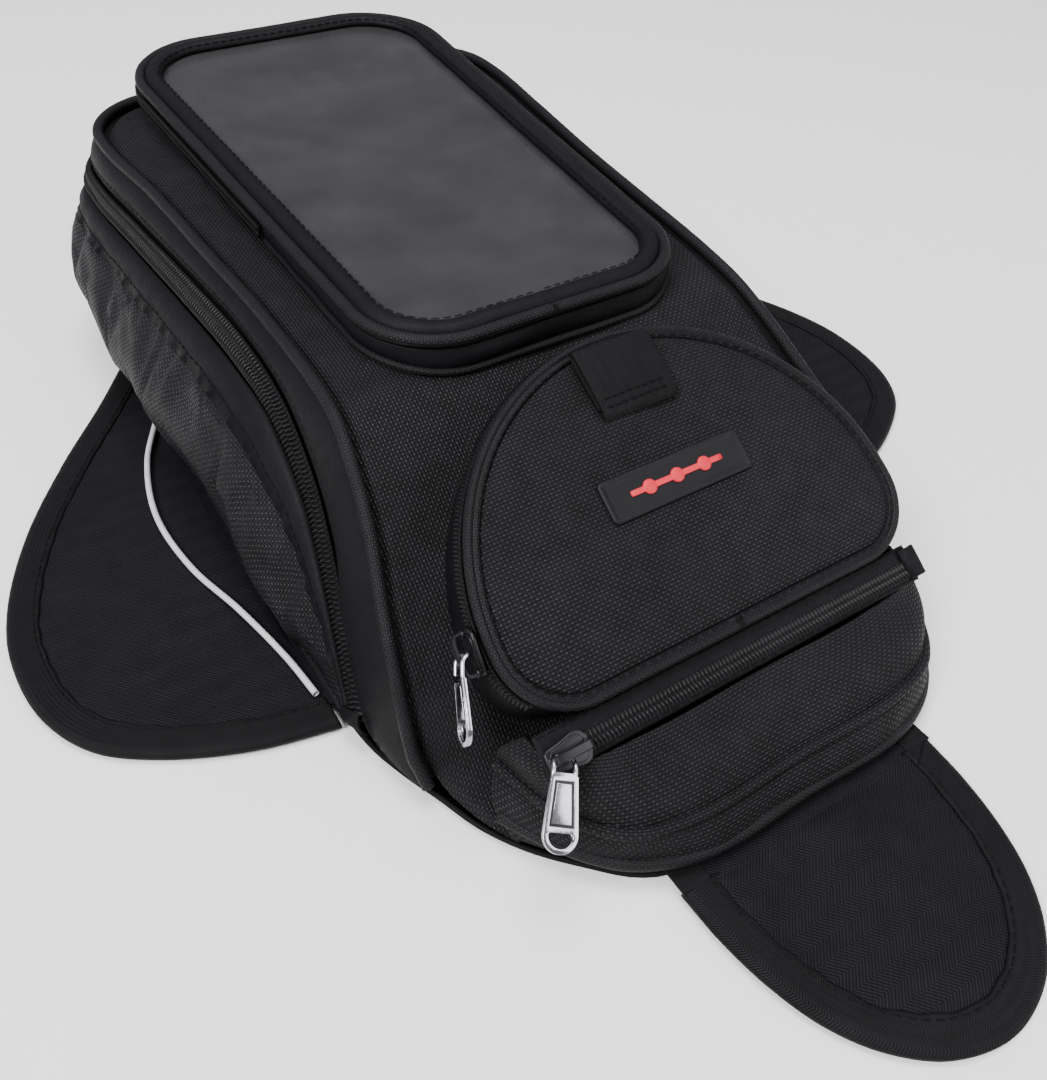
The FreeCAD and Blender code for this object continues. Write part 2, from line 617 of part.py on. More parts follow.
def make_front_pocket(trim):
    """The low pocket across the front: panel, lower band, zip tape, coil and end tab."""
    away = d_plate(-0.4, -D_LID_T - 0.1, 40)
    rows = [[Vector(-x, y, z) for x, y, z in r[:0:-1]] + [Vector(*p) for p in r]
            for r in FRONT_ROWS]
    outward = lambda p: Vector(p.x, p.y + 55, p.z)
    for name, part in (("front_pocket_panel", rows[:3]), ("front_pocket_base_band", rows[2:])):
        shell = panel(part, outward, 0.0, FABRIC)
        if name == "front_pocket_base_band":
            shell = shell.cut(panel(rows[:3], outward, 2.0, 6.0))
        write(name, biggest(shell.cut(trim).cut(away)))
    tape = Part.makeBox(126, 9.6, 1.2, Vector(-64.5, -4.8, -1.2))
    write("front_zip_tape", placed(tape, FRONT_FRAME))
    coil = Part.makeBox(122, 5.2, 1.2, Vector(-64, FRONT_COIL_V - 2.6, 0.1))
    write("front_zip_coil", placed(coil, FRONT_FRAME))
    tab = Part.makeBox(4.6, 9.0, 1.6, Vector(58.6, -4.6, 0.1))
    write("front_zip_end_tab", placed(tab, FRONT_FRAME))


# ---- the magnetic flaps -------------------------------------------------------------------
def make_flap(prefix, outline, magnets, flip):
    """A flap of two fabric layers with magnets between them and webbing bound round it."""
    full = spline_face(outline)
    inner = inset_face(full, BINDING_W)
    core = inset_face(full, 2.0)
    lining = core.extrude(Vector(0, 0, 1.8))
    lining.translate(Vector(0, 0, 0.5))
    lining = lining.fuse(inset_face(full, BINDING_W + 0.3).extrude(Vector(0, 0, 0.6)))
    top = core.extrude(Vector(0, 0, 0.9))
    top.translate(Vector(0, 0, 2.3))
    discs = []
    for x, y in magnets:
        room = Part.makeCylinder(MAGNET_R + 0.2, MAGNET_T + 0.1, Vector(x, y, 0.9))
        lining = lining.cut(room)
        discs.append(Part.makeCylinder(MAGNET_R, MAGNET_T, Vector(x, y, 0.95)))
    frame = full.extrude(Vector(0, 0, FLAP_T))
    hollow = inset_face(full, 1.8).extrude(Vector(0, 0, 3.0))
    hollow.translate(Vector(0, 0, 0.4))
    window = inner.extrude(Vector(0, 0, 10))
    window.translate(Vector(0, 0, -5))
    binding = frame.cut(hollow).cut(window)
    for name, shape in (("lining", lining), ("panel", top), ("binding", binding),
                        ("magnets", Part.makeCompound(discs))):
        write("%s_%s" % (prefix, name), mirrored(shape) if flip else shape)


def make_flaps():
    """Both wings with their reflective piping, and the tail flap."""
    arc = Part.BSplineCurve()
    arc.interpolate([Vector(x, y, FLAP_T + 1.0) for x, y in REFLECTIVE_ARC])
    start = Vector(*REFLECTIVE_ARC[0], FLAP_T + 1.0)
    ring = Part.Wire(Part.makeCircle(0.9, start, arc.tangent(0.0)[0]))
    cord = Part.Wire(arc.toShape()).makePipeShell([ring], True, False)
    for prefix, flip in (("right_wing", False), ("left_wing", True)):
        make_flap(prefix, WING_OUTLINE, WING_MAGNETS, flip)
        write(prefix + "_reflective_piping", mirrored(cord) if flip else cord)
    tail = TAIL_OUTLINE + [(-x, y) for x, y in TAIL_OUTLINE[-2::-1]]
    make_flap("tail_flap", tail, TAIL_MAGNETS, False)


# ---- the zips' sliders --------------------------------------------------------------------
def make_sliders():
    """Every slider with its pull, at rest where the zips are closed."""
    up = Vector(0, 0.84, 0.54)
    seat = FRONT_ZIP + up * FRONT_COIL_V + FRONT_N * 1.6 + Vector(-58.5, 0, 0)
    slider_and_pull("front_zip", seat, Vector(1, 0, 0), FRONT_N,
                    Vector(-0.534, -0.710, -0.456), -2.6, 12.0, 8.6, (21.8, 6.7, 8.6, 1.4))
    angle = math.radians(177)
    radial = Vector(math.cos(angle), 0, 0) + D_UP * math.sin(angle)
    tangent = Vector(math.sin(angle), 0, 0) - D_UP * math.cos(angle)
    centre = Vector(0, *D_FOOT) + D_UP * D_CENTRE_S
    seat = centre + radial * (D_RADIUS + 1.1) - D_OUT * 6.9
    slider_and_pull("d_zip", seat, tangent, radial, Vector(-0.32, -0.739, -0.593),
                    1.0, 12.0, 8.6, (21.8, 6.7, 8.6, 1.4, True))
    back = Vector(0, 1, 0)
    for side, x in (("left", -15.5), ("right", -3.5)):
        seat = Vector(x, PHONE_REAR + 1.1, phone_z(PHONE_REAR) - PHONE_LID_T - 2.6)
        slider_and_pull("phone_zip_%s" % side, seat, Vector(1, 0, 0), back,
                        Vector(0, 0, -1), 0.0, 11.0, 7.6, (16.5, 5.4, 6.6, 1.2))
    n = Vector(0, 0.974, 0.227)
    for side, x in (("left", -7.5), ("right", 7.5)):
        seat = Vector(x, 227, 64) + n * (COIL_T - 0.9 + GAP)
        slider_and_pull("main_zip_%s" % side, seat, Vector(1, 0, 0), n,
                        Vector(0, 0.06, -1), 0.0, 12.4, 9.4, (22.0, 6.7, 8.6, 1.4))


make_tub()
make_lid_shell()
TRIM = under_lid(0.6, 45.0)
make_phone_pocket(TRIM)
make_d_pocket(TRIM)
make_front_pocket(TRIM)
make_flaps()
make_sliders()
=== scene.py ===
import math
import bmesh
import bpy
import numpy as np
from mathutils import Matrix, Vector


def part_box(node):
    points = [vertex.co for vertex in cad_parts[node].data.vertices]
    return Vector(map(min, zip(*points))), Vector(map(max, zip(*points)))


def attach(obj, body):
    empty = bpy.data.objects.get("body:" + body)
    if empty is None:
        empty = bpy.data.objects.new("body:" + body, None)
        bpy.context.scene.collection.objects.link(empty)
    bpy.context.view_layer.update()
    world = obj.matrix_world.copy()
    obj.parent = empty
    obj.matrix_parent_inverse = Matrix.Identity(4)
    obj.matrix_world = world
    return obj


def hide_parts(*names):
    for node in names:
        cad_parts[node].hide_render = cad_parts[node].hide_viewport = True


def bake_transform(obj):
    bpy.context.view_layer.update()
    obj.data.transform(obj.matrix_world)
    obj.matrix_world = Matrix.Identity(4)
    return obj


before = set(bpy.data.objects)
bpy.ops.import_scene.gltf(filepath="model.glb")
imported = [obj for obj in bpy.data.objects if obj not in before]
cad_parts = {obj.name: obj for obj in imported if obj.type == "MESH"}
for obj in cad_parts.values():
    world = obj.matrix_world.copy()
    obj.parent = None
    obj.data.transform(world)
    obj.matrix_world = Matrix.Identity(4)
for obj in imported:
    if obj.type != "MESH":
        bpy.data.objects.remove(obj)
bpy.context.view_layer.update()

# Lengths below are millimetres in the bag's layout: x across, y towards the wide end, z up, with
# y = 0 near the top of the slope. SHIFT moves the layout to the frame's origin.
REAR = 222.0
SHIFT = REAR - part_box("base_panel")[1].y * 1000.0


# ---- numbers along lines and surfaces ----------------------------------------------------
def vec(*v):
    return np.array(v, float)


X, Y, Z = np.eye(3)
MIRROR = vec(-1, 1, 1)


def unit(v):
    return v / np.maximum(np.linalg.norm(v, axis=-1, keepdims=True), 1e-9)


def spline(keys, points, at):
    """A smooth curve through points at the given keys, read at the values at."""
    keys, points, at = np.asarray(keys, float), np.asarray(points, float), np.asarray(at, float)
    flat = points.reshape(len(keys), -1)
    step = np.diff(flat, axis=0) / np.diff(keys)[:, None]
    slope = np.vstack([step[:1], (step[1:] + step[:-1]) / 2, step[-1:]])
    i = np.clip(np.searchsorted(keys, at, side="right") - 1, 0, len(keys) - 2)
    h = (keys[i + 1] - keys[i])[:, None]
    t = ((at - keys[i])[:, None]) / h
    a, b, ma, mb = flat[i], flat[i + 1], slope[i] * h, slope[i + 1] * h
    out = (2 * t**3 - 3 * t**2 + 1) * a + (t**3 - 2 * t**2 + t) * ma
    out = out + (-2 * t**3 + 3 * t**2) * b + (t**3 - t**2) * mb
    return out.reshape((len(at),) + points.shape[1:])


def lengths(path):
    """Distance along a path at each of its points."""
    return np.concatenate([[0], np.cumsum(np.linalg.norm(np.diff(path, axis=0), axis=1))])


def read(values, run, at):
    """Values known at distances run along a line, read at other distances."""
    return np.stack([np.interp(at, run, column) for column in values.T], 1)


def even(path, spacing=None, count=None):
    """The path again, with points a fixed distance apart."""
    run = lengths(path)
    n = count or max(int(run[-1] / spacing) + 1, 3)
    return read(path, run, np.linspace(0, run[-1], n))


def smooth(points, count):
    """A smooth curve through points, read at even steps of their distance."""
    keys = lengths(points)
    return spline(keys, points, np.linspace(0, keys[-1], count))


def bend(points, count):
    """A smooth curve through points, read at even steps of their number."""
    last = len(points) - 1
    return spline(np.arange(last + 1), points, np.linspace(0, last, count))


def smoothstep(a, b, x):
    t = np.clip((x - a) / (b - a), 0, 1)
    return t * t * (3 - 2 * t)


def arch(t):
    """0 at both ends of 0 to 1, and 1 in the middle."""
    return np.sin(math.pi * t)


def hump(t, middle, width):
    return np.exp(-((t - middle) / width) ** 2)


def ripple(x, y, scale, seed):
    """Soft, seeded unevenness between about -1 and 1, with features about scale wide."""
    rng = np.random.default_rng(seed)
    total = np.zeros(np.broadcast(x, y).shape)
    for _ in range(9):
        angle, phase = rng.uniform(0, math.pi), rng.uniform(0, 2 * math.pi)
        wave = 2 * math.pi / (scale * rng.uniform(0.8, 2.4))
        total += np.sin((x * math.cos(angle) + y * math.sin(angle)) * wave + phase)
    return total / 5.0


def to_frame(points):
    return (np.asarray(points, float).reshape(-1, 3) - vec(0, SHIFT, 0)) / 1000.0


def shown(name, data):
    """A new object in the scene."""
    thing = bpy.data.objects.new(name, data)
    bpy.context.scene.collection.objects.link(thing)
    return thing


def make(name, verts, faces, look, body, uvs=None, replaces=""):
    """A piece from layout points. It rides on a body, and stands for the CAD nodes named."""
    mesh = bpy.data.meshes.new(name)
    mesh.from_pydata(to_frame(verts).tolist(), [], [tuple(int(i) for i in f) for f in faces])
    if uvs is not None:
        layer = mesh.uv_layers.new(name="thread")
        loops = np.zeros(len(mesh.loops), np.int32)
        mesh.loops.foreach_get("vertex_index", loops)
        flat = np.asarray(uvs, float).reshape(-1, 2)
        layer.data.foreach_set("uv", (flat[loops] / 1000.0).ravel())
    mesh.polygons.foreach_set("use_smooth", [True] * len(mesh.polygons))
    mesh.update()
    piece = shown(name, mesh)
    mesh.materials.append(M[look])
    if body:
        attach(piece, body)
    if replaces:
        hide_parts(*replaces.split())
    return piece


def grid_faces(n, m, wrap_n=False, wrap_m=False, base=0, flip=False):
    faces = []
    for i in range(n if wrap_n else n - 1):
        for j in range(m if wrap_m else m - 1):
            near, far, k = i * m, (i + 1) % n * m, (j + 1) % m
            quad = (near + j, near + k, far + k, far + j)
            faces.append(tuple(base + q for q in (quad[::-1] if flip else quad)))
    return faces


def outward(p, toward, wrap=False):
    """Unit normals of a grid of points on the side of toward, and -1 if that turned them."""
    if wrap:
        q = np.concatenate([p[-1:], p, p[:1]], 0)
        du = q[2:] - q[:-2]
    else:
        du = np.gradient(p, axis=0)
    n = unit(np.cross(du, np.gradient(p, axis=1)))
    sign = np.sign(np.sum(n * toward)) or 1.0
    return n * sign, sign


def away_from(p, y):
    """Level directions to points from the place y on the bag's middle line."""
    return (p - vec(0, y, 0)) * vec(1, 1, 0)


def skin(name, p, thickness, toward, look, body, replaces="", wrap=False, closed_in=False,
         uv=None):
    """A closed sheet: the grid p is its outer face, on the side of toward.

    closed_in shuts the small ring that the last column leaves in a wrapped grid."""
    n, m = p.shape[:2]
    normals, sign = outward(p, toward, wrap)
    inner = p - normals * thickness
    flip = sign < 0
    verts = np.concatenate([p.reshape(-1, 3), inner.reshape(-1, 3)])
    faces = grid_faces(n, m, wrap_n=wrap, flip=not flip)
    faces += grid_faces(n, m, wrap_n=wrap, base=n * m, flip=flip)

    def edge(a, b):
        return (a, b, b + n * m, a + n * m)

    rim = []
    for i in range(n if wrap else n - 1):
        a, b = i * m, (i + 1) % n * m
        rim.append(edge(a, b))
        if not closed_in:
            rim.append(edge(b + m - 1, a + m - 1))
    if closed_in:
        inmost = tuple(i * m + m - 1 for i in range(n))
        below = tuple(k + n * m for k in inmost)
        faces += [inmost[::-1], below] if flip else [inmost, below[::-1]]
    if not wrap:
        for j in range(m - 1):
            a = (n - 1) * m + j
            rim += [edge(j + 1, j), edge(a, a + 1)]
    faces += rim if flip else [f[::-1] for f in rim]
    if uv is None:
        u, v = np.zeros((n, m)), np.zeros((n, m))
        u[1:] = np.cumsum(np.linalg.norm(np.diff(p, axis=0), axis=2).mean(1))[:, None]
        v[:, 1:] = np.cumsum(np.linalg.norm(np.diff(p, axis=1), axis=2), axis=1)
        uv = np.stack([u, v - v.mean(1, keepdims=True)], 2)
    uvs = np.concatenate([uv.reshape(-1, 2)] * 2)
    return make(name, verts, faces, look, body, uvs, replaces)


def solid(name, p, faces, look, body, uv, replaces=""):
    """A closed piece on a grid of points, with its faces turned outward."""
    piece = make(name, p.reshape(-1, 3), faces, look, body, uv, replaces)
    mesh = piece.data
    co = np.zeros(len(mesh.vertices) * 3)
    mesh.vertices.foreach_get("co", co)
    co = co.reshape(-1, 3)
    volume = 0.0
    for poly in mesh.polygons:
        ids = list(poly.vertices)
        for k in range(1, len(ids) - 1):
            volume += np.dot(co[ids[0]], np.cross(co[ids[k]], co[ids[k + 1]]))
    if volume < 0:
        mesh.flip_normals()
    return piece


def grid_uv(rows, columns):
    return np.stack(np.meshgrid(rows, columns, indexing="ij"), 2)


def end_caps(n, m):
    """Faces that close the two ends of a grid wrapped the short way."""
    return [tuple(range(m)), tuple((n - 1) * m + j for j in range(m))[::-1]]


def sweep(name, path, side, up, profile, look, body, replaces="", closed=False):
    """A section carried along a path: profile points are (along side, along up)."""
    profile = np.asarray(profile, float)
    n, m = len(path), len(profile)
    side, up = np.broadcast_to(side, path.shape), np.broadcast_to(up, path.shape)
    p = path[:, None, :] + side[:, None, :] * profile[None, :, 0, None]
    p = p + up[:, None, :] * profile[None, :, 1, None]
    faces = grid_faces(n, m, wrap_n=closed, wrap_m=True) + ([] if closed else end_caps(n, m))
    around = lengths(np.vstack([profile, profile[:1]]))[:m]
    return solid(name, p, faces, look, body, grid_uv(lengths(path), around), replaces)


def rings(name, loops, look, body, replaces=""):
    """A closed band: loops are matching closed outlines, in order round its section."""
    p = np.stack(loops, 1)
    faces = grid_faces(*p.shape[:2], wrap_n=True, wrap_m=True)
    return solid(name, p, faces, look, body, grid_uv(lengths(p[:, 0]), lengths(p[0])), replaces)


def capped(name, loops, look, body, replaces=""):
    """A solid through matching closed outlines, closed by a face at each end."""
    p = np.stack(loops, 1)
    n, m = p.shape[:2]
    faces = grid_faces(n, m, wrap_n=True)
    faces += [tuple(i * m for i in range(n)), tuple(i * m + m - 1 for i in range(n))[::-1]]
    return solid(name, p, faces, look, body, p[..., :2], replaces)


def round_profile(r, sides=10):
    a = np.linspace(0, 2 * math.pi, sides, endpoint=False)
    return np.stack([r * np.cos(a), r * np.sin(a)], 1)


def tube(name, path, radius, up, look, body, replaces="", closed=False):
    """A round cord along a path; up is roughly perpendicular to it."""
    if closed:
        along = np.roll(path, -1, 0) - np.roll(path, 1, 0)
    else:
        along = np.gradient(path, axis=0)
    side = unit(np.cross(along, up))
    lift = unit(np.cross(side, along))
    return sweep(name, path, side, lift, round_profile(radius), look, body, replaces, closed)


BEAD_LENGTH = ((-1.0, 0.3), (-0.72, 0.85), (0.0, 1.0), (0.72, 0.85), (1.0, 0.3))
BEAD_ARCH = ((-1, 0), (-0.7, 0.75), (0, 1), (0.7, 0.75), (1, 0))
BEAD_CAPS = [(0, 5, 10, 15, 20, 24, 19, 14, 9, 4), (0, 4, 3, 2, 1), (20, 21, 22, 23, 24)]


def beads(name, spots, along, across, up, section, look, body, replaces=""):
    """Many small rounded bars: section is (half length across, half width along, height)."""
    half, width, height = section
    local = np.array([(t * half, w * width * (0.55 + 0.45 * rise), h * height * rise)
                      for t, rise in BEAD_LENGTH for w, h in BEAD_ARCH])
    verts = spots[:, None, :] + across[:, None, :] * local[None, :, 0, None]
    verts = verts + along[:, None, :] * local[None, :, 1, None]
    verts = verts + up[:, None, :] * local[None, :, 2, None]
    one = grid_faces(len(BEAD_LENGTH), len(BEAD_ARCH), flip=True) + BEAD_CAPS
    faces = [tuple(k * len(local) + i for i in f) for k in range(len(spots)) for f in one]
    return make(name, verts.reshape(-1, 3), faces, look, body, None, replaces)


STITCH_RADIUS = 0.24


def stitches(name, path, up, body, length=2.3, gap=1.0, lift=0.05):
    """A row of sewn stitches along a path, as small bars of thread."""
    run = lengths(path)
    count = max(int(run[-1] / (length + gap)), 1)
    at = (np.arange(count) + 0.5) * (length + gap)
    spots = read(path, run, at)
    along = unit(read(path, run, at + 0.5) - spots)
    ups = read(np.broadcast_to(up, path.shape), run, at)
    across = unit(np.cross(ups, along))
    ups = unit(np.cross(along, across))
    beads(name, spots + ups * lift, across, along, ups,
          (length / 2, STITCH_RADIUS, STITCH_RADIUS * 1.3), "thread", body)


SETTLE_FRAMES = 20


def relax(p, pinned, grow, pressure, cap):
    """Settles a skin as cloth a little too large for its seams, and returns its grid.

    No point moves further than cap."""
    n, m = p.shape[:2]
    mesh = bpy.data.meshes.new("relaxing")
    mesh.from_pydata((p.reshape(-1, 3) / 1000.0).tolist(), [], grid_faces(n, m))
    ob = shown("relaxing", mesh)
    group = ob.vertex_groups.new(name="pin")
    group.add([int(i) for i in np.flatnonzero(pinned.ravel())], 1.0, "REPLACE")
    mod = ob.modifiers.new("cloth", "CLOTH")
    s = mod.settings
    s.quality = 6
    s.mass = 0.25
    s.tension_stiffness = s.compression_stiffness = 20
    s.shear_stiffness = 8
    s.bending_stiffness = 0.9
    s.vertex_group_mass = "pin"
    s.shrink_min = -grow
    s.use_pressure = True
    s.uniform_pressure_force = pressure
    s.effector_weights.gravity = 0.0
    mod.collision_settings.use_collision = False
    scene = bpy.context.scene
    for f in range(1, SETTLE_FRAMES + 1):
        scene.frame_set(f)
    shot = ob.evaluated_get(bpy.context.evaluated_depsgraph_get())
    q = np.zeros(n * m * 3)
    shot.data.vertices.foreach_get("co", q)
    scene.frame_set(1)
    bpy.data.objects.remove(ob)
    move = q.reshape(n, m, 3) * 1000.0 - p
    size = np.linalg.norm(move, axis=2, keepdims=True)
    if not np.isfinite(size).all():
        return p
    return p + move * (cap * np.tanh(size / cap) / np.maximum(size, 1e-9))


# ---- materials ---------------------------------------------------------------------------
class Value:
    """A number in a node tree. Arithmetic on it adds Math nodes."""

    def __init__(self, nodes, socket):
        self.nodes, self.socket = nodes, socket

    def math(self, op, a, b=0.0, clamp=False):
        n = self.nodes.node("ShaderNodeMath", operation=op, use_clamp=clamp)
        self.nodes.link(a, n.inputs[0])
        self.nodes.link(b, n.inputs[1])
        return Value(self.nodes, n.outputs[0])

    def __add__(self, other):
        return self.math("ADD", self, other)

    def __sub__(self, other):
        return self.math("SUBTRACT", self, other)

    def __rsub__(self, other):
        return self.math("SUBTRACT", other, self)

    def __mul__(self, other):
        return self.math("MULTIPLY", self, other)

    def __truediv__(self, other):
        return self.math("DIVIDE", self, other)

    def __mod__(self, other):
        return self.math("MODULO", self, other)

    def __pow__(self, other):
        return self.math("POWER", self, other)

    def __abs__(self):
        return self.math("ABSOLUTE", self)

    def floor(self):
        return self.math("FLOOR", self)

    def fract(self):
        return self.math("FRACT", self)

    def bow(self, power=2.0):
        """1 in the middle of each 0 to 1, and 0 at its ends, flatter for a higher power."""
        return 1.0 - abs(self * 2.0 - 1.0) ** power


class Nodes:
    """A material's node tree and its shader."""

    def __init__(self, name):
        self.material = bpy.data.materials.new(name)
        self.material.use_nodes = True
        self.tree = self.material.node_tree
        self.shader = self.tree.nodes["Principled BSDF"]

    def link(self, value, socket):
        if isinstance(value, Value):
            value = value.socket
        if isinstance(value, bpy.types.NodeSocket):
            self.tree.links.new(value, socket)
        else:
            socket.default_value = value

    def node(self, kind, **settings):
        n = self.tree.nodes.new(kind)
        for key, value in settings.items():
            setattr(n, key, value)
        return n

    def uv(self):
        split = self.node("ShaderNodeSeparateXYZ")
        self.link(self.node("ShaderNodeUVMap", uv_map="thread").outputs[0], split.inputs[0])
        return Value(self, split.outputs[0]), Value(self, split.outputs[1])

    def noise(self, scale, detail):
        n = self.node("ShaderNodeTexNoise")
        self.link(self.node("ShaderNodeTexCoord").outputs["Object"], n.inputs["Vector"])
        for key, value in (("Scale", scale), ("Detail", detail), ("Roughness", 0.55)):
            n.inputs[key].default_value = value
        return Value(self, n.outputs["Fac"])

    def ramp(self, value, low, high, out_low, out_high):
        n = self.node("ShaderNodeMapRange", clamp=True)
        for socket, v in zip(n.inputs[:5], (value, low, high, out_low, out_high)):
            self.link(v, socket)
        return n.outputs[0]

    def mix(self, fac, a, b):
        n = self.node("ShaderNodeMix", data_type="RGBA")
        self.link(fac, n.inputs["Factor"])
        for key, colour in (("A", a), ("B", b)):
            socket = [s for s in n.inputs if s.name == key and s.type == "RGBA"][0]
            socket.default_value = (*colour, 1.0)
        return [s for s in n.outputs if s.type == "RGBA"][0]

    def bump(self, height, distance, strength=1.0):
        n = self.node("ShaderNodeBump")
        n.inputs["Strength"].default_value = strength
        n.inputs["Distance"].default_value = distance
        self.link(height, n.inputs["Height"])
        normal = self.shader.inputs["Normal"]
        if normal.links:
            self.link(normal.links[0].from_socket, n.inputs["Normal"])
        self.link(n.outputs[0], normal)

    def set(self, **values):
        for key, value in values.items():
            self.link(value, self.shader.inputs[key.replace("_", " ")])


def cloth_base(n, dark, light, height, rough=(0.55, 0.8), specular=0.1):
    """Thread colour, lighter where height is high: for woven cloth, painted shade in the gaps
    between threads and a painted highlight on their crests, with slow and fine unevenness.
    """
    slow, fine = n.noise(9.0, 2.0), n.noise(160.0, 2.0)
    tone = height * n.ramp(slow, 0.25, 0.75, 0.6, 1.0)
    tone = tone.math("ADD", tone, (fine - 0.4) * 0.4, clamp=True)
    n.set(Base_Color=n.mix(tone, dark, light),
          Roughness=n.ramp(tone, 0.1, 0.9, rough[1], rough[0]), Specular_IOR_Level=specular)


def basket(name, pitch, dark, light, depth, rough):
    """Coarse over-and-under weave of fat threads, a little closer along v than along u."""
    n = Nodes(name)
    u, v = n.uv()
    wobble = (n.noise(60.0, 1.0) - 0.5) * 0.35
    x, y = u / pitch + wobble, v / (pitch * 0.92) + wobble
    fx, fy = x.fract(), y.fract()
    over = abs((x.floor() + y.floor()) % 2.0)
    warp = fx.bow(5.0) * (fy.bow() * 0.9 + 0.1)
    weft = fy.bow() * (fx.bow() * 0.3 + 0.1)
    # The raised threads get the lighter colour as a painted highlight; the sunken ones and the
    # gaps get painted shade.
    height = warp * over + weft * (1.0 - over)
    cloth_base(n, dark, light, height, rough, 0.16)
    n.bump(n.noise(700.0, 1.0), 0.00006, 0.5)
    n.bump(height, depth)
    return n.material


def twill(name, pitch, dark, light, depth, slant, zigzag):
    """Fine diagonal ribs that turn back on themselves each zigzag of width."""
    n = Nodes(name)
    u, v = n.uv()
    rib = ((u + v.math("PINGPONG", v, zigzag) * slant) / pitch).fract().bow()
    cross = ((u - v * slant) / (pitch * 1.7)).fract()
    height = rib * (abs(cross * 2.0 - 1.0) * 0.4 + 0.6)
    # Painted shade in the grooves between ribs, painted highlight on their crests.
    cloth_base(n, dark, light, height, (0.5, 0.8))
    n.bump(n.noise(500.0, 1.0), 0.00008, 0.5)
    n.bump(height, depth)
    return n.material


def ribbed(name, pitch, dark, light, depth):
    """Webbing: ribs across its width with a faint herringbone over them."""
    n = Nodes(name)
    u, v = n.uv()
    height = ((u + v.math("PINGPONG", v, 0.0016) * 0.6) / pitch).fract().bow()
    # Painted shade in the grooves between ribs, painted highlight on their crests.
    cloth_base(n, dark, light, height, (0.5, 0.78))
    n.bump(height, depth)
    return n.material


def smooth_cloth(name, dark, light, rough=(0.45, 0.7)):
    """Tight plain cloth, such as tape: grain too fine to count."""
    n = Nodes(name)
    grain = n.noise(900.0, 2.0)
    cloth_base(n, dark, light, grain, rough)
    n.bump(grain, 0.00012, 0.8)
    n.bump(n.noise(70.0, 2.0), 0.0005, 0.35)
    return n.material


def moulded(name, dark, light, rough, metallic=0.0, specular=0.4):
    """Moulded plastic, rubber, thread or plated metal with slight smudges and fine wear."""
    n = Nodes(name)
    smudge, fine = n.noise(90.0, 4.0), n.noise(900.0, 2.0)
    n.set(Base_Color=n.mix(smudge, dark, light), Metallic=metallic, Specular_IOR_Level=specular,
          Roughness=n.ramp(smudge * 0.7 + fine * 0.3, 0.3, 0.7, *rough))
    n.bump(fine, 0.00004, 0.6)
    return n.material


def film_material():
    """Clear soft film, gone slightly smoky: it shows what lies under it, and reflects."""
    n = Nodes("clear_film")
    haze = n.noise(45.0, 5.0)
    n.set(Base_Color=n.mix(haze, (0.030, 0.030, 0.032), (0.055, 0.055, 0.058)),
          Roughness=n.ramp(haze, 0.3, 0.8, 0.10, 0.24), Alpha=n.ramp(haze, 0.3, 0.7, 0.42, 0.55),
          Specular_IOR_Level=0.5)
    n.bump(n.noise(14.0, 1.0), 0.0003, 0.5)
    n.bump(haze, 0.00004, 0.4)
    return n.material


BLACK = (0.002, 0.002, 0.0025)
# Colour of the weaves' thread crests: partly their worn tone, partly a painted highlight.
WORN_AND_HIGHLIGHT_BLACK = (0.0185, 0.0172, 0.021)
# In the basket, twill and ribbed looks the first colour is painted shade in the gaps between
# threads and the second is the crest colour with a painted highlight.
M = {
    "weave": basket("basket_weave", 0.00106, (0.0003, 0.0003, 0.0005), WORN_AND_HIGHLIGHT_BLACK, 0.00042,
                    (0.36, 0.8)),
    "side": basket("side_weave", 0.00106, (0.0006, 0.0006, 0.0009), WORN_AND_HIGHLIGHT_BLACK, 0.00034,
                   (0.32, 0.7)),
    "twill": twill("flap_twill", 0.00105, (0.0016, 0.0016, 0.0021), (0.0095, 0.0091, 0.0114),
                   0.00016, slant=0.9, zigzag=0.0042),
    "tape": smooth_cloth("tape_cloth", BLACK, (0.0075, 0.0073, 0.0088)),
    "piping": basket("piping_cloth", 0.0008, BLACK, (0.0125, 0.0118, 0.0142), 0.00016,
                     (0.4, 0.65)),
    "webbing": ribbed("webbing_ribs", 0.00062, (0.0014, 0.0014, 0.0018),
                      (0.008, 0.0078, 0.009), 0.0001),
    "base": smooth_cloth("base_cloth", (0.003, 0.003, 0.003), (0.009, 0.009, 0.0095),
                         (0.6, 0.8)),
    "coil": moulded("coil_nylon", (0.002, 0.002, 0.0024), (0.0085, 0.0085, 0.0098),
                    (0.28, 0.48), specular=0.22),
    "thread": moulded("sewing_thread", (0.0012, 0.0012, 0.0015), (0.006, 0.0058, 0.007),
                      (0.5, 0.75), specular=0.08),
    "film": film_material(),
    "rubber": moulded("label_rubber", (0.003, 0.003, 0.0037), (0.009, 0.009, 0.0105),
                      (0.4, 0.6), specular=0.16),
    "red": moulded("label_red", (0.42, 0.010, 0.020), (0.62, 0.022, 0.038), (0.4, 0.6),
                   specular=0.3),
    "reflective": moulded("reflective_piping", (0.42, 0.42, 0.45), (0.62, 0.62, 0.65),
                          (0.4, 0.6)),
    "slider": moulded("black_zinc", (0.006, 0.006, 0.007), (0.022, 0.021, 0.024),
                      (0.22, 0.42), 0.5),
    "chrome": moulded("dark_nickel", (0.30, 0.29, 0.32), (0.52, 0.51, 0.55), (0.10, 0.24), 1.0),
    "recess": moulded("nickel_shadow", (0.02, 0.02, 0.022), (0.05, 0.05, 0.055), (0.3, 0.5),
                      0.8),
    "steel": moulded("magnet_plate", (0.35, 0.35, 0.36), (0.6, 0.6, 0.62), (0.2, 0.4), 1.0),
    "board": moulded("board_sheet", (0.005, 0.005, 0.0055), (0.012, 0.012, 0.013),
                     (0.55, 0.75), specular=0.15),
}


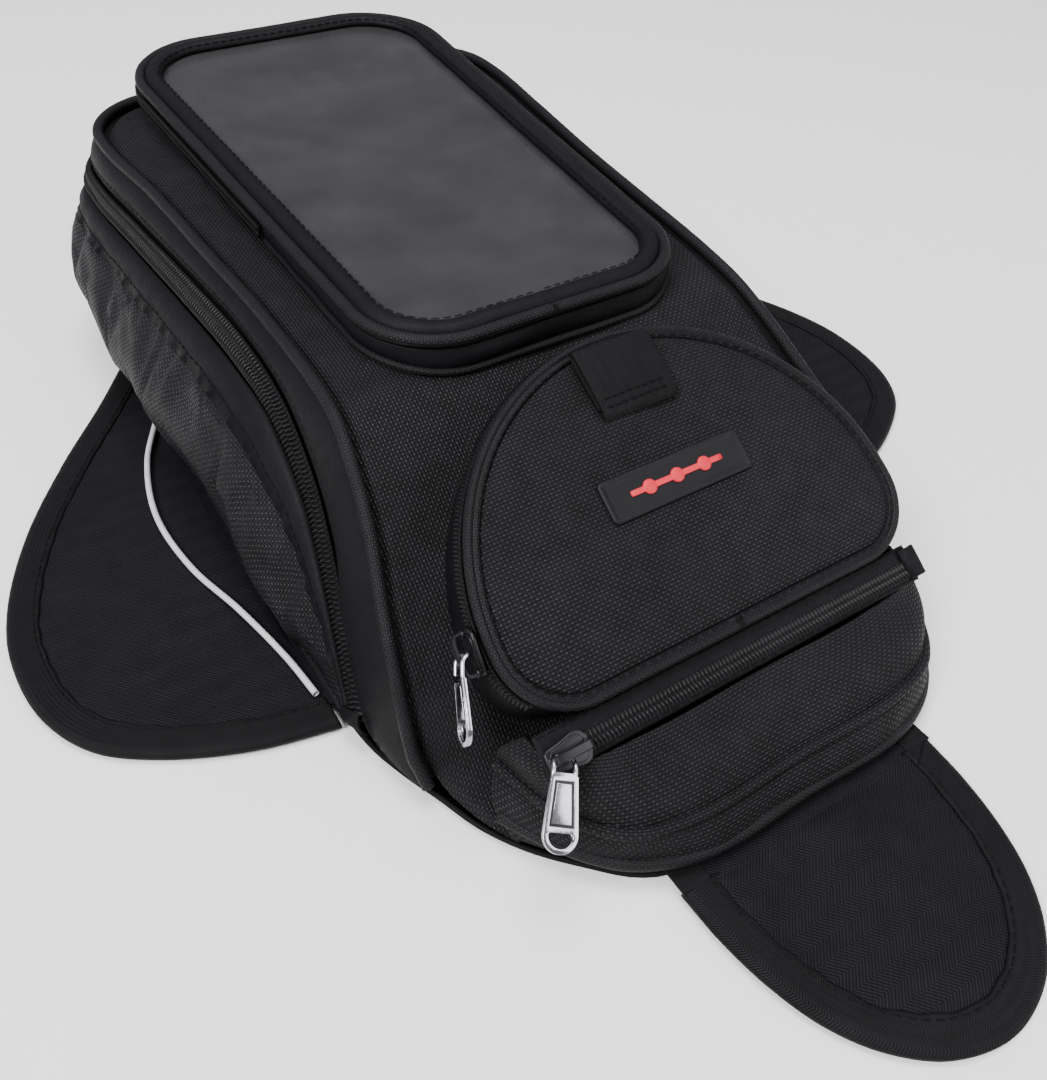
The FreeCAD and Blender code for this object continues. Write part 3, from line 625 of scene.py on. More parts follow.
# ---- the seams that run round the bag ------------------------------------------------------
# On the right side: (y, half width, height) of the lid's edge, and of the main zip below it.
SIDE_SEAMS = [
    ((188, 78.5, 79), (188, 85, 64.5)), ((150, 74.8, 78.8), (150, 82.7, 65.3)),
    ((110, 72, 77), (110, 80, 66.3)), ((70, 69.6, 75.8), (70, 77.6, 66)),
    ((38, 68.8, 74), (47, 77, 62)), ((22, 69.3, 71), (34, 77.6, 56)),
    ((8, 71.5, 64), (22, 78.8, 48.5)), ((-6, 74.5, 55), (9, 81.5, 38)),
    ((-20, 79, 44), (-4, 85, 26.5)), ((-34, 83, 32), (-17, 88.5, 14)),
    ((-44, 85, 16), (-24, 90.3, 8.6)),
]
SIDE_TAIL = [((-48, 84.6, 11), (-33, 89.6, 5.0)), ((-51, 84, 6.6), (-44, 86.6, 4.4))]
# (y, half width) of the bottom in front of its rear corners, whose radius is CORNER.
BASE_OUTLINE = [(190, 89), (150, 91.5), (100, 92.5), (0, 92.5), (-28, 91), (-41, 87.3),
                (-53, 82.5), (-66, 77.5), (-78, 70), (-90, 59), (-97.5, 51), (-101.5, 43),
                (-103, 20), (-103, 0)]
CORNER_X, CORNER_Y, CORNER = 57, 190, 32
MIDDLE_Y = 100      # the wall, its tapes and the zip face away from this place
TAPE_RISE = 4.4     # from the zip's line down to the top of the wall


def seams(count, tail=False):
    """Lines at even steps from the right front round the rear to the left front.

    They are the lid's edge, the zip, outward, up from zip to edge, and the band's normal."""
    rows = [((x, 223.5, 79), (x * 1.06, 227, 64), Y) for x in (0.0, 25.0)]
    for angle in (90, 70, 45, 20):
        c, s = math.cos(math.radians(angle)), math.sin(math.radians(angle))
        rows.append(((49.5 + 29 * c, 194.5 + 29 * s, 79), (54 + 31 * c, 196 + 31 * s, 64),
                     (c, s, 0)))
    side = np.array(SIDE_SEAMS + (SIDE_TAIL if tail else []), float)[..., [1, 0, 2]]
    rows += [(edge, zipper, X) for edge, zipper in side]
    right = np.swapaxes(np.array(rows, float), 0, 1)
    e, z, o = (np.vstack([a[::-1], a[1:] * MIRROR]) for a in right)
    keys = lengths(z)
    e, z, o = (spline(keys, a, np.linspace(0, keys[-1], count)) for a in (e, z, o))
    o, up = unit(o), unit(e - z)
    n = unit(np.cross(np.gradient(z, axis=0), up))
    return e, z, o, up, n * np.sign(np.sum(n * o, axis=1, keepdims=True))


def base_half(y):
    keys = np.array(BASE_OUTLINE)[::-1]
    return spline(keys[1:, 0], keys[1:, 1:], y)[:, 0]


def wall_grid(count, fractions):
    """Points down the tub's wall, before it settles: fraction 0 is just under the zip."""
    _, z, o, up, _ = seams(count)
    top = z - up * TAPE_RISE
    corner = np.clip(o[:, 1:2], 0, 1)
    ground = np.full(count, 2.0)
    side = np.stack([np.sign(z[:, 0]) * base_half(np.minimum(top[:, 1], CORNER_Y)), top[:, 1],
                     ground], 1)
    cx = np.where(np.abs(o[:, 0]) > 0.02, np.sign(o[:, 0]) * CORNER_X, z[:, 0])
    round_part = np.stack([cx + CORNER * o[:, 0], CORNER_Y + CORNER * o[:, 1], ground], 1)
    flat = (np.abs(z[:, 0]) < 53) & (z[:, 1] > 200)
    round_part[flat] = np.stack([z[flat, 0] * CORNER_X / 54, np.full(flat.sum(), REAR),
                                 ground[flat]], 1)
    foot = np.where(corner > 0.01, round_part, side)
    belly = 12.0 * (1 - corner[:, 0]) + (5 + 4 * np.abs(o[:, 0])) * corner[:, 0]
    belly = belly * np.clip((top[:, 2] - 2) / 55.0, 0, 1)
    t = np.asarray(fractions)[None, :, None]
    p = top[:, None, :] + (foot - top)[:, None, :] * t
    return p + o[:, None, :] * (belly[:, None, None] * arch(t) ** 0.9), o


# ---- the tub -------------------------------------------------------------------------------
def build_tub():
    """Walls, the tape under the zip, the zip's coil, and the bottom with its welt."""
    fractions = np.concatenate([[0.0, 0.03, 0.07], np.linspace(0.12, 1.0, 26)])
    p, o = wall_grid(260, fractions)
    pins = np.zeros(p.shape[:2], bool)
    pins[:, :4] = pins[:, -1] = True
    pins[:2] = pins[-2:] = True
    p = relax(p, pins, grow=0.035, pressure=1.2, cap=2.6)
    run, drop = lengths(p[:, 0])[:, None], fractions[None, :] * 60
    fold = ripple(run * 1.3 + drop * 0.8, drop * 0.25, 30, 3) * arch(fractions) ** 1.2
    low = smoothstep(0.55, 0.97, fractions)[None, :] * arch(fractions)[None, :]
    fold = fold * 0.5 + ripple(run, drop * 0.3, 13, 5) * low * 0.55
    pucker = np.sin(run / 2.9 + ripple(run, 0, 25, 8) * 2) * hump(fractions, 0.135, 0.05)
    groove = hump(fractions, 0.12, 0.018) * 1.1 + hump(fractions, 1.0, 0.03) * 1.0
    p = p + o[:, None, :] * (fold + pucker * 0.16 - groove)[:, :, None]
    cloth = p[:, 2:]
    wall = skin("tub_wall", cloth, 1.8, away_from(cloth, MIDDLE_Y), "side", "tub",
                "left_wall right_wall rear_wall")
    flap = p[:, :5] + o[:, None, :] * vec(0.5, 0.9, 1.25, 1.1, 0.55)[None, :, None]
    skin("zip_tape_lower", flap, 0.9, away_from(flap, MIDDLE_Y), "tape", "tub",
         "lower_zip_tape")
    stitches("tape_stitches_lower", flap[:, 3] + o * 0.1, o, "tub")
    _, z, _, up, n = seams(700)
    build_coil("main_zip_teeth", z + n * 0.4, up, n, MAIN_COIL, "tub", "main_zip_coil")
    rise = np.linspace(-3.4, 7.2, 6)[None, :, None]
    backing = z[:, None] + up[:, None] * rise - n[:, None] * 1.75
    skin("zip_tape_backing", backing, 0.6, away_from(backing, MIDDLE_Y), "tape", "tub")
    side_view = ((-2.2, 1.6), (-1.0, 2.5), (1.0, 2.7), (2.6, 2.0), (3.8, 0.6))
    section = [(-3.9, -0.5), (-4.1, 0), (-3.9, 0.5), (3.4, 0.5), (3.6, 0), (3.4, -0.5)]
    for end, inward, name in ((0, 3, "right"), (-1, -4, "left")):
        run_out = unit(z[end] - z[inward])
        path = bend([z[end] + run_out * k + n[end] * h for k, h in side_view], 17)
        sweep(f"zip_end_fold_{name}", path - up[end] * 0.6, up[end], n[end], section, "webbing",
              "tub", f"{name}_zip_end_tab")
    build_base()


# Coils are (width, pitch, height).
MAIN_COIL, D_COIL = (7.2, 1.42, 1.5), (4.6, 1.15, 1.05)
FRONT_COIL, PHONE_COIL = (5.0, 1.2, 1.1), (4.2, 1.1, 0.95)


def build_coil(name, path, across, up, coil, body, replaces):
    """A closed coil zip: two rows of interlocking turns on a narrow dark bed."""
    width, pitch, height = coil
    across, up = np.broadcast_to(across, path.shape), np.broadcast_to(up, path.shape)
    run, half = lengths(path), width / 2
    at = (np.arange(int(run[-1] / pitch)) + 0.5) * pitch
    rows = []
    for side in (1, -1):
        s = at + (pitch / 2 if side < 0 else 0)
        s = s[s < run[-1]]
        p, a, n = read(path, run, s), unit(read(across, run, s)), unit(read(up, run, s))
        t = unit(np.cross(n, a))
        rows.append((p + a * side * half * 0.46, t * 0.94 + a * 0.3, a - t * side * 0.12, n))
    spots, along, over, ups = (np.concatenate(part) for part in zip(*rows))
    beads(name, spots, unit(along), unit(over), ups, (half * 0.53, pitch * 0.36, height),
          "coil", body, replaces)
    bed = [(-half, -0.5), (-half, 0.12), (-half * 0.9, 0.35), (half * 0.9, 0.35), (half, 0.12),
           (half, -0.5)]
    step = max(len(path) // 260, 1)
    keep = np.unique(np.append(np.arange(0, len(path), step), len(path) - 1))
    sweep(name + "_bed", path[keep], across[keep], up[keep], bed, "tape", body)


def base_outline(count=260):
    """The bottom's closed outline, seen from above."""
    half = [(0, REAR), (30, REAR), (CORNER_X, REAR)]
    half += [(CORNER_X + CORNER * math.cos(a), CORNER_Y + CORNER * math.sin(a))
             for a in np.radians([67, 45, 22])]
    half = np.array(half + [(w, y) for y, w in BASE_OUTLINE], float)
    loop = np.vstack([half, half[-2:0:-1] * MIRROR[:2], half[:1]])
    return even(smooth(loop, 900), count=count + 1)[:-1]


def inset_loop(loop, inset, z):
    """A closed flat outline drawn in by inset at height z."""
    along = unit(np.roll(loop, -1, 0) - np.roll(loop, 1, 0))
    n = np.stack([along[:, 1], -along[:, 0]], 1)
    area = np.sum(loop[:, 0] * np.roll(loop[:, 1], -1) - loop[:, 1] * np.roll(loop[:, 0], -1))
    q = loop - n * inset * np.sign(area)
    return np.column_stack([q, np.full(len(q), float(z))])


def build_base():
    outline, middle = base_outline(), vec(0, 60, 0)
    rims = [inset_loop(outline, inset, z)
            for inset, z in ((0.0, 1.3), (0.25, 0.6), (1.0, 0.0), (9.0, 0.0))]
    for share in (0.8, 0.45, 0.12, 0.005):
        rims.append(middle + (rims[3] - middle) * vec(share, share, 1))
    p = np.stack(rims, 1)
    skin("bottom_skin", p, 1.4, -Z, "base", "tub", "base_panel", wrap=True, closed_in=True,
         uv=p[:, :, :2])
    welt = inset_loop(outline, 0.4, 2.6)
    welt = welt[welt[:, 1] > -24]
    order = np.argsort(np.arctan2(welt[:, 0], -(welt[:, 1] - middle[1])))
    tube("base_welt", even(welt[order], count=300), 1.5, Z, "piping", "tub")


# ---- the lid's panel -----------------------------------------------------------------------
# y, half width, height of the edge, height of the middle, and how flat the middle is.
SECTIONS = np.array([
    (221.3, 50, 78.9, 79.4, 4), (216.5, 63, 78.9, 79.9, 4), (206.5, 72.2, 78.9, 80.5, 4),
    (188, 76.2, 79, 81, 4), (150, 72.5, 78.8, 80.5, 4), (110, 69.7, 77, 79, 4),
    (70, 67.3, 75.8, 77.5, 4), (38, 66.5, 74, 75.5, 4), (22, 67, 71, 72, 4),
    (8, 69.2, 64, 63.6, 4), (-6, 72.2, 54.6, 53.6, 4), (-20, 76.7, 43.6, 43.4, 4),
    (-34, 80.7, 31.6, 33.3, 4), (-44, 82.7, 15.6, 26.1, 8), (-52, 81.6, 6.4, 20.3, 7),
    (-60, 79.3, 5.0, 14.6, 6), (-68, 75.8, 5.0, 9.4, 5), (-75, 71, 5.0, 5.0, 4)], float)
LID_REAR, LID_FRONT = SECTIONS[0, 0], SECTIONS[-1, 0]
LID_UP = vec(0, -0.3, 1)


def lid_rows(y):
    y = np.clip(y, LID_FRONT, LID_REAR)
    table = spline(SECTIONS[::-1, 0], SECTIONS[::-1, 1:], y)
    return [table[:, k:k + 1] for k in range(4)]


def lid_height(x, y):
    """Height of the lid's outer surface over a point."""
    w, edge, middle, power = (a[:, 0] for a in lid_rows(np.ravel(y)))
    u = np.clip(np.abs(np.ravel(x)) / w, 0, 1)
    return (edge + (middle - edge) * (1 - u ** power)).reshape(np.shape(x))


def build_lid_shell():
    """The weave panel over top and slope, the piped edge, and the tape above the main zip."""
    y = np.concatenate([np.linspace(LID_REAR, 206, 12), np.linspace(202, 40, 60),
                        np.linspace(37, LID_FRONT, 80)])
    u = np.sin(np.linspace(-math.pi / 2, math.pi / 2, 61))
    w, edge, middle, power = lid_rows(y)
    x = u[None, :] * w
    z = edge + (middle - edge) * (1 - np.abs(u)[None, :] ** power)
    p = np.stack([x, np.repeat(y[:, None], 61, 1), z], 2)
    y, away = p[..., 1], w - np.abs(x)
    puff = ripple(x * 1.2, y, 34, 11) * 1.0 + ripple(x + y, y - x, 15, 12) * 0.26
    slope = smoothstep(24, 6, y) * smoothstep(-60, -30, y)
    drag = np.sin((x * 0.5 + y) / 6.5 + ripple(x, y, 40, 4) * 1.5) * slope * 0.35
    puff = (puff + drag) * smoothstep(0, 9, away) - 1.7 * (1 - smoothstep(0.0, 2.8, away))
    panel = skin("lid_weave_panel", p + outward(p, Z)[0] * puff[..., None], 1.8, LID_UP,
                 "weave", "main_lid", "lid_panel")
    count = 420
    e, zipper, _, up, n = seams(count, tail=True)
    s = lengths(e)[:, None]
    inward = np.linspace(-0.4, 6.0, 7)[None, :, None]
    skin("lid_edge_gutter", e[:, None] - n[:, None] * inward - up[:, None] * 1.2, 0.7, LID_UP,
         "tape", "main_lid")
    cord = e + n * (0.2 + ripple(s, 0, 40, 21) * 0.12) + up * 0.4
    tube("lid_edge_piping", cord, 1.85, unit(n + up * 0.55), "piping", "main_lid",
         "edge_piping")
    end = np.minimum(np.arange(count), np.arange(count)[::-1])
    share = smoothstep(40, 26, end)[:, None]
    low = (zipper + up * 4.6) * (1 - share) + (zipper + up * 0.6) * share
    high = e + up * 0.7 - n * 0.3
    t = np.linspace(0, 1, 13)
    q = low[:, None, :] + (high - low)[:, None, :] * t[None, :, None]
    puff = 1.5 * arch(t) ** 0.7 + ripple(s, t[None, :] * 12, 22, 31) * 0.22
    puff = puff + np.sin(s / 2.7 + ripple(s, 0, 30, 5) * 2) * hump(t, 0.93, 0.07) * 0.16
    q = q + n[:, None, :] * puff[:, :, None]
    skin("zip_tape_upper", q, 1.3, away_from(q, MIDDLE_Y), "tape", "main_lid",
         "upper_zip_tape")
    stitches("tape_stitches_upper", q[:, 2], n, "main_lid")


# ---- phone pocket and its window -------------------------------------------------------------
def phone_z(y):
    return 86.0 + 0.05 * (y - 34.0)


def phone_loop(inset, drop, tuck=0.0):
    """The pocket rim's outline, drawn in by inset and lowered by drop."""
    wf, wr = 53.5 - inset, 60 - inset - 0.5 * tuck
    yf, yr = 21.5 + inset, 232 - inset - tuck
    rf, rr = 27 - inset, 31 - inset
    a, b = np.radians(np.linspace(-90, 0, 25)), np.radians(np.linspace(0, 90, 29))
    front = np.stack([wf - rf + rf * np.cos(a), yf + rf + rf * np.sin(a)], 1)
    rear = np.stack([wr - rr + rr * np.cos(b), yr - rr + rr * np.sin(b)], 1)
    side = front[-1] + (rear[0] - front[-1]) * np.linspace(0, 1, 90)[1:-1, None]
    start = vec(0, yf) + (front[0] - vec(0, yf)) * np.linspace(0, 1, 16)[:-1, None]
    end = rear[-1] + (vec(0, yr) - rear[-1]) * np.linspace(0, 1, 18)[1:, None]
    half = np.vstack([start, front, side, rear, end])
    q = np.vstack([half, half[-2:0:-1] * MIRROR[:2]])
    return np.column_stack([q, phone_z(q[:, 1]) - drop])


def loop_normals(loop, up):
    """Outward directions of a closed outline that runs anticlockwise about up."""
    along = unit(np.roll(loop, -1, 0) - np.roll(loop, 1, 0))
    return unit(np.cross(along, up))


def softened(values, reach):
    """A closed row of values, each averaged with its neighbours."""
    around = np.concatenate([values[-reach:], values, values[:reach]])
    return np.convolve(around, np.ones(2 * reach + 1) / (2 * reach + 1), "valid")


def build_phone_pocket():
    """Wall, floor and coil on the main lid; piping, padded border and film on the window."""
    rim = phone_loop(1.75, 2.6)
    out = loop_normals(rim, Z)
    run = lengths(rim)
    cord = rim + out * ripple(run, 0, 45, 51)[:, None] * 0.15
    cord = cord + Z * ripple(run, 0, 38, 52)[:, None] * 0.2
    tube("window_rim_piping", cord, 1.9, Z, "piping", "window_lid", "window_piping", closed=True)
    section = [(3.35, 2.9), (3.5, 1.9), (4.0, 0.95), (4.8, 0.35), (6.2, 0.02), (7.6, 0.2),
               (8.7, 0.8), (9.35, 1.7), (9.6, 2.5), (9.0, 3.1), (4.2, 3.4)]
    loops = []
    for k, (inset, drop) in enumerate(section):
        q = phone_loop(inset, drop)
        q[:, 2] += (ripple(run, inset, 26, 53) * 0.3 + ripple(run, 0, 11, 54) * 0.1) * (
            1.0 if 1 < k < 8 else 0.2)
        loops.append(q)
    border = rings("window_border", loops, "tape", "window_lid", "window_frame")
    seam = phone_loop(8.75, 0.78)
    stitches("window_stitches", np.vstack([seam, seam[:1]]), Z, "window_lid", lift=0.25)
    build_film()
    build_phone_wall(out)


def build_film():
    """The clear window: a soft sheet, welded under the border and a little wavy."""
    edge = phone_loop(6.5, 3.3)
    half = len(edge) // 2
    right = edge[:half + 1]
    y = np.linspace(right[0, 1] + 0.3, right[half, 1] - 0.3, 90)
    w = np.interp(y, right[:, 1] + np.arange(half + 1) * 1e-6, right[:, 0])
    u = np.linspace(-1, 1, 50)
    x, yy = u[None, :] * w[:, None], np.repeat(y[:, None], 50, 1)
    inner = smoothstep(1.0, 0.55, np.abs(u))[None, :] * smoothstep(
        0, 30, np.minimum(y - y[0], y[-1] - y))[:, None]
    wave = ripple(x, yy * 0.6, 42, 61) * 0.75 + ripple(x, yy, 21, 62) * 0.14
    z = phone_z(yy) - 3.3 + (wave - 1.5 * inner) * (0.15 + 0.85 * inner)
    sheet = skin("window_film_sheet", np.stack([x, yy, z], 2), 0.45, Z, "film", "window_lid",
                 "window_film")


def build_phone_wall(out):
    """The pocket's padded wall down to the lid, its foot's seam, its floor and its coil."""
    top, foot = phone_loop(1.2, 4.9), phone_loop(1.2, 21.3, 21.0)
    hit = np.ones(len(top))
    for t in np.linspace(0, 1, 41)[::-1]:
        q = top + (foot - top) * t
        on_lid = (np.abs(q[:, 0]) < lid_rows(q[:, 1])[0][:, 0]) & (q[:, 1] < LID_REAR)
        hit = np.where(on_lid & (q[:, 2] < lid_height(q[:, 0], q[:, 1]) + 0.5), t, hit)
    hit = softened(hit, 4)[:, None]
    run = lengths(top)
    q = []
    for r in np.linspace(0, 1, 14):
        bulge = math.sin(math.pi * r)
        puff = 1.1 * math.sin(math.pi * min(r * 1.02, 1))
        puff = puff + ripple(run, r * 14, 30, 71) * 0.5 * bulge
        puff = puff + ripple(run, r * 9, 14, 72) * 0.2 * r
        q.append(top + (foot - top) * (hit * r) + out * puff[:, None])
    wall = skin("phone_pocket_wall", np.stack(q, 1), 1.6, out[:, None], "tape", "main_lid",
                "phone_pocket_gusset", wrap=True)
    lip = q[-1] + out * 0.9 + Z * 0.5
    off = lip[:, 1] >= 214
    first = int(np.argmax(off))
    lip = np.roll(lip, -first, 0)[np.roll(off, -first).sum():]
    tube("phone_pocket_seam", even(lip, count=420), 1.15, Z, "piping", "main_lid")
    y, u = np.linspace(36, 194, 60), np.linspace(-1, 1, 31)
    side = phone_loop(14, 0)[:133]
    w = np.interp(y, side[:, 1], side[:, 0])
    x, yy = u[None, :] * w[:, None], np.repeat(y[:, None], 31, 1)
    z = lid_height(x, yy) + 1.5 + ripple(x, yy, 40, 73) * 0.2
    skin("phone_pocket_bed", np.stack([x, yy, z], 2), 0.5, Z, "base", "main_lid",
         "phone_pocket_floor")
    line = phone_loop(0.1, 7.35)
    n = loop_normals(line, Z)
    back = line[:, 1] > 102.5
    pick = (np.argmax(back) + np.arange(back.sum())) % len(line)
    path = even(line[pick], 1.0)
    ups = read(n[pick], np.linspace(0, 1, len(pick)), np.linspace(0, 1, len(path)))
    build_coil("phone_zip_teeth", path, Z, unit(ups), PHONE_COIL, "main_lid", "phone_zip_coil")


# ---- round-topped front pocket ---------------------------------------------------------------
D_ANGLE = math.radians(31.5)
D_UP = vec(0, math.cos(D_ANGLE), math.sin(D_ANGLE))
D_OUT = vec(0, -math.sin(D_ANGLE), math.cos(D_ANGLE))
D_FOOT = vec(0, -71, 41)
D_RADIUS, D_CENTRE = 66.3, 20.5     # of the round top, and how far up the face its middle is
LABEL_UP = 43.0                     # how far up the face the label's middle is


def on_face(x, s, h):
    """A point of the pocket's face: x across, s up the face, h out of it."""
    x, s, h = np.broadcast_arrays(np.asarray(x, float), s, h)
    return D_FOOT + x[..., None] * X + s[..., None] * D_UP + h[..., None] * D_OUT


def d_outline(inset):
    """The flat outline, round at the top, anticlockwise from the bottom's middle."""
    r, c, flat = D_RADIUS - inset, 20.0 - inset, 46.3
    line = np.stack([np.linspace(0, flat, 22)[:-1], np.full(21, inset)], 1)
    a, b = np.radians(np.linspace(-90, 0, 20)), np.radians(np.linspace(0, 90, 60))
    corner = np.stack([flat + c * np.cos(a), inset + c + c * np.sin(a)], 1)
    top = np.stack([r * np.cos(b), D_CENTRE + r * np.sin(b)], 1)
    half = np.vstack([line, corner, top])
    return np.vstack([half, half[-2:0:-1] * MIRROR[:2]])


def from_arch(x, s):
    """Distance in from the face's round top."""
    return D_RADIUS - np.hypot(x, np.maximum(s - D_CENTRE, 0))


def crown(x, s):
    """How far the padded face stands out over its flat outline."""
    return 2.1 * smoothstep(2, 26, np.minimum(from_arch(x, s), s)) - 0.2


def build_d_pocket():
    """The wall with its coil on the main lid, and the piped, padded face that opens."""
    wall = d_outline(1.0).T
    depth = np.full(wall.shape[1], 32.0)
    for k in np.linspace(32, 4.5, 60):
        q = on_face(*wall, -k)
        low = q[:, 2] < lid_height(np.clip(q[:, 0], -60, 60), q[:, 1]) - 0.8
        depth = np.where(low, k, depth)
    depth = softened(depth, 3)
    side = unit(on_face(*wall, 0) - on_face(0.0, 30.0, 0.0))
    run = lengths(wall.T)
    rows = []
    for r in np.linspace(0, 1, 12):
        puff = (0.7 + ripple(run, r * 20, 26, 81) * 0.4) * math.sin(math.pi * r)
        rows.append(on_face(*wall, -4.2 - (depth - 4.2) * r) + side * puff[:, None])
    skin("round_pocket_wall", np.stack(rows, 1), 1.5, side[:, None], "tape", "main_lid",
         "d_pocket_gusset", wrap=True)
    build_d_piping()
    line = d_outline(-0.15)
    path = even(on_face(*line[line[:, 1] > 6.2].T, -6.9), 1.0)
    radial = unit(np.cross(np.gradient(path, axis=0), D_OUT))
    build_coil("round_zip_teeth", path, D_OUT, radial, D_COIL, "main_lid", "d_zip_coil")
    build_d_face()


def build_d_piping():
    section = [(0.5, -3.9), (-0.1, -2.7), (-0.2, -1.6), (0.25, -0.55), (1.05, -0.05),
               (1.75, -0.45), (2.1, -0.95), (2.5, -0.5), (3.15, -0.3), (3.75, -0.75),
               (3.95, -1.9), (3.4, -3.6)]
    wobble = ripple(lengths(d_outline(0)), 0, 35, 82) * 0.2
    loops = [on_face(*d_outline(inset).T, h + wobble) for inset, h in section]
    rings("round_pocket_piping", loops, "piping", "front_pocket_lid", "d_piping")
    stitches("round_pocket_stitches", on_face(*d_outline(3.3).T, -0.2), D_OUT,
             "front_pocket_lid")


def build_d_face():
    loops, flats = [], []
    for inset, h in ((3.6, -2.6), (3.7, -1.5), (4.2, -0.75), (5.2, -0.25), (7.5, 0.0), (11, 0.0)):
        flats.append(d_outline(inset))
        x, s = flats[-1].T
        loops.append(on_face(x, s, h + crown(x, s) * (inset > 5)))
    middle, start = vec(0, LABEL_UP), flats[-1]
    for share in np.concatenate([np.linspace(0.95, 0.1, 26), [0.01]]):
        flats.append(middle + (start - middle) * share)
        x, s = flats[-1].T
        soft = ripple(x, s, 34, 83) * 1.3 + ripple(x, s, 15, 84) * 0.3
        fade = smoothstep(9, 24, np.minimum(from_arch(x, s), s))
        fade = fade * smoothstep(0.8, 1.9, np.hypot(x / 25, (s - LABEL_UP) / 9))
        loops.append(on_face(x, s, crown(x, s) + soft * fade))
    face = skin("round_pocket_face", np.stack(loops, 1), 1.8, D_OUT, "weave",
                "front_pocket_lid", "d_face_panel", wrap=True, closed_in=True,
                uv=np.stack(flats, 1))
    build_webbing_loop()
    build_label()


def build_webbing_loop():
    """A strap folded over at its upper end and sewn down at its lower one."""
    side_view = [(66.2, 0.75), (74, 0.8), (80.5, 1.0), (82.6, 1.4), (83.1, 2.2), (82.4, 3.0),
                 (80, 3.2), (73, 2.9), (67, 2.5), (64.4, 1.9), (63.2, 0.9)]
    s, h = bend(np.array(side_view), 90).T
    path = on_face(0.0, s, h + crown(0.0, s) * 0.8)
    up = unit(np.cross(X, np.gradient(path, axis=0)))
    section = [(-12.1, 0), (-11.9, 0.42), (-11.2, 0.6), (-6, 0.5), (0, 0.46), (6, 0.5),
               (11.2, 0.6), (11.9, 0.42), (12.1, 0), (11.9, -0.42), (11.2, -0.5), (-11.2, -0.5),
               (-11.9, -0.42)]
    sweep("folded_loop", path, X, up, section, "webbing", "front_pocket_lid", "webbing_loop")
    x = np.linspace(-10.8, 10.8, 60)
    for s in (66.0, 68.4):
        h = 2.95 + crown(0.0, s) * 0.8 + (s - 66) * 0.08
        stitches(f"loop_stitches_{int(s)}", on_face(x, s, h), D_OUT, "front_pocket_lid",
                 length=1.7, gap=0.8, lift=0.3)


def rounded(w, h, r, cx=0.0):
    """A rounded rectangle on the label: half width, half height, corner radius."""
    pts = []
    for k, (sx, sy) in enumerate(((1, -1), (1, 1), (-1, 1), (-1, -1))):
        a = np.radians(np.linspace(-90, 0, 7) + 90 * k)
        pts.append(np.stack([cx + sx * (w - r) + r * np.cos(a),
                             LABEL_UP + sy * (h - r) + r * np.sin(a)], 1))
    return np.vstack(pts)


def build_label():
    """A moulded patch with a raised border and a plain red mark."""
    def raised(q, h):
        return on_face(*q.T, h + crown(*q.T))

    section = ((0.3, -0.4), (0.0, 0.3), (0.15, 0.85), (0.6, 1.1), (1.1, 1.1), (1.5, 0.75),
               (2.2, 0.7))
    loops = [raised(rounded(23 - inset, 6 - inset, max(1.6 - inset, 0.3)), h)
             for inset, h in section]
    capped("label_plate", loops, "rubber", "front_pocket_lid", "label_patch")
    marks = [rounded(15, 0.8, 0.5)] + [rounded(2.0, 2.0, 1.9, x) for x in (-9, 0, 9)]
    for k, mark in enumerate(marks):
        proud, centre = 0.12 * (k > 0), mark.mean(0)
        loops = [raised(centre + (mark - centre) * grow, h)
                 for grow, h in ((1, 0.5), (1, 1.0 + proud), (0.9, 1.15 + proud))]
        capped(f"label_mark_{k}", loops, "red", "front_pocket_lid", "label_motif")


# ---- low front pocket ------------------------------------------------------------------------
FRONT_ROWS = np.array([
    [(0, -78.5, 30.6), (40, -78.5, 30.6), (55, -77, 30.6), (62, -72.5, 30.8), (64, -64, 31)],
    [(0, -88.8, 24.2), (42, -88.6, 24.2), (55, -84.5, 24.2), (63.5, -74, 24.2), (67, -60, 24.5)],
    [(0, -98, 17.4), (38, -97.6, 17.4), (52, -93, 17.4), (63, -79.5, 17.4), (69.5, -60, 18)],
    [(0, -103.2, 10), (36, -102.6, 10), (52, -96, 10), (64.5, -82.5, 10), (73, -66, 10.5)],
    [(0, -103.8, 3.8), (36, -103.2, 3.8), (52, -96.8, 3.8), (65, -82.6, 3.8),
     (72.4, -73.5, 3.8)]], float)
FRONT_N = vec(0, -0.54, 0.84)
FRONT_UP = vec(0, 0.84, 0.54)
FRONT_ZIP = vec(0, -73.0, 33.75)
COIL_DROP = -1.55       # the front coil lies this far up its tape from FRONT_ZIP


def front_grid(levels, count=150):
    """The pocket's outer surface at heights given as row numbers."""
    rows = []
    for row in FRONT_ROWS:
        half = np.vstack([row[::-1] * MIRROR, row[1:]])
        rows.append(even(smooth(half, 400), count=count))
    return np.swapaxes(spline(np.arange(5.0), np.stack(rows), levels), 0, 1)


def front_cloth(name, levels, puff, replaces):
    """A padded panel of the pocket between two heights."""
    p = front_grid(levels)
    p = p + outward(p, away_from(p, -20))[0] * puff[..., None]
    panel = skin(name, p, 1.6, away_from(p, -20), "weave", "main_lid", replaces)


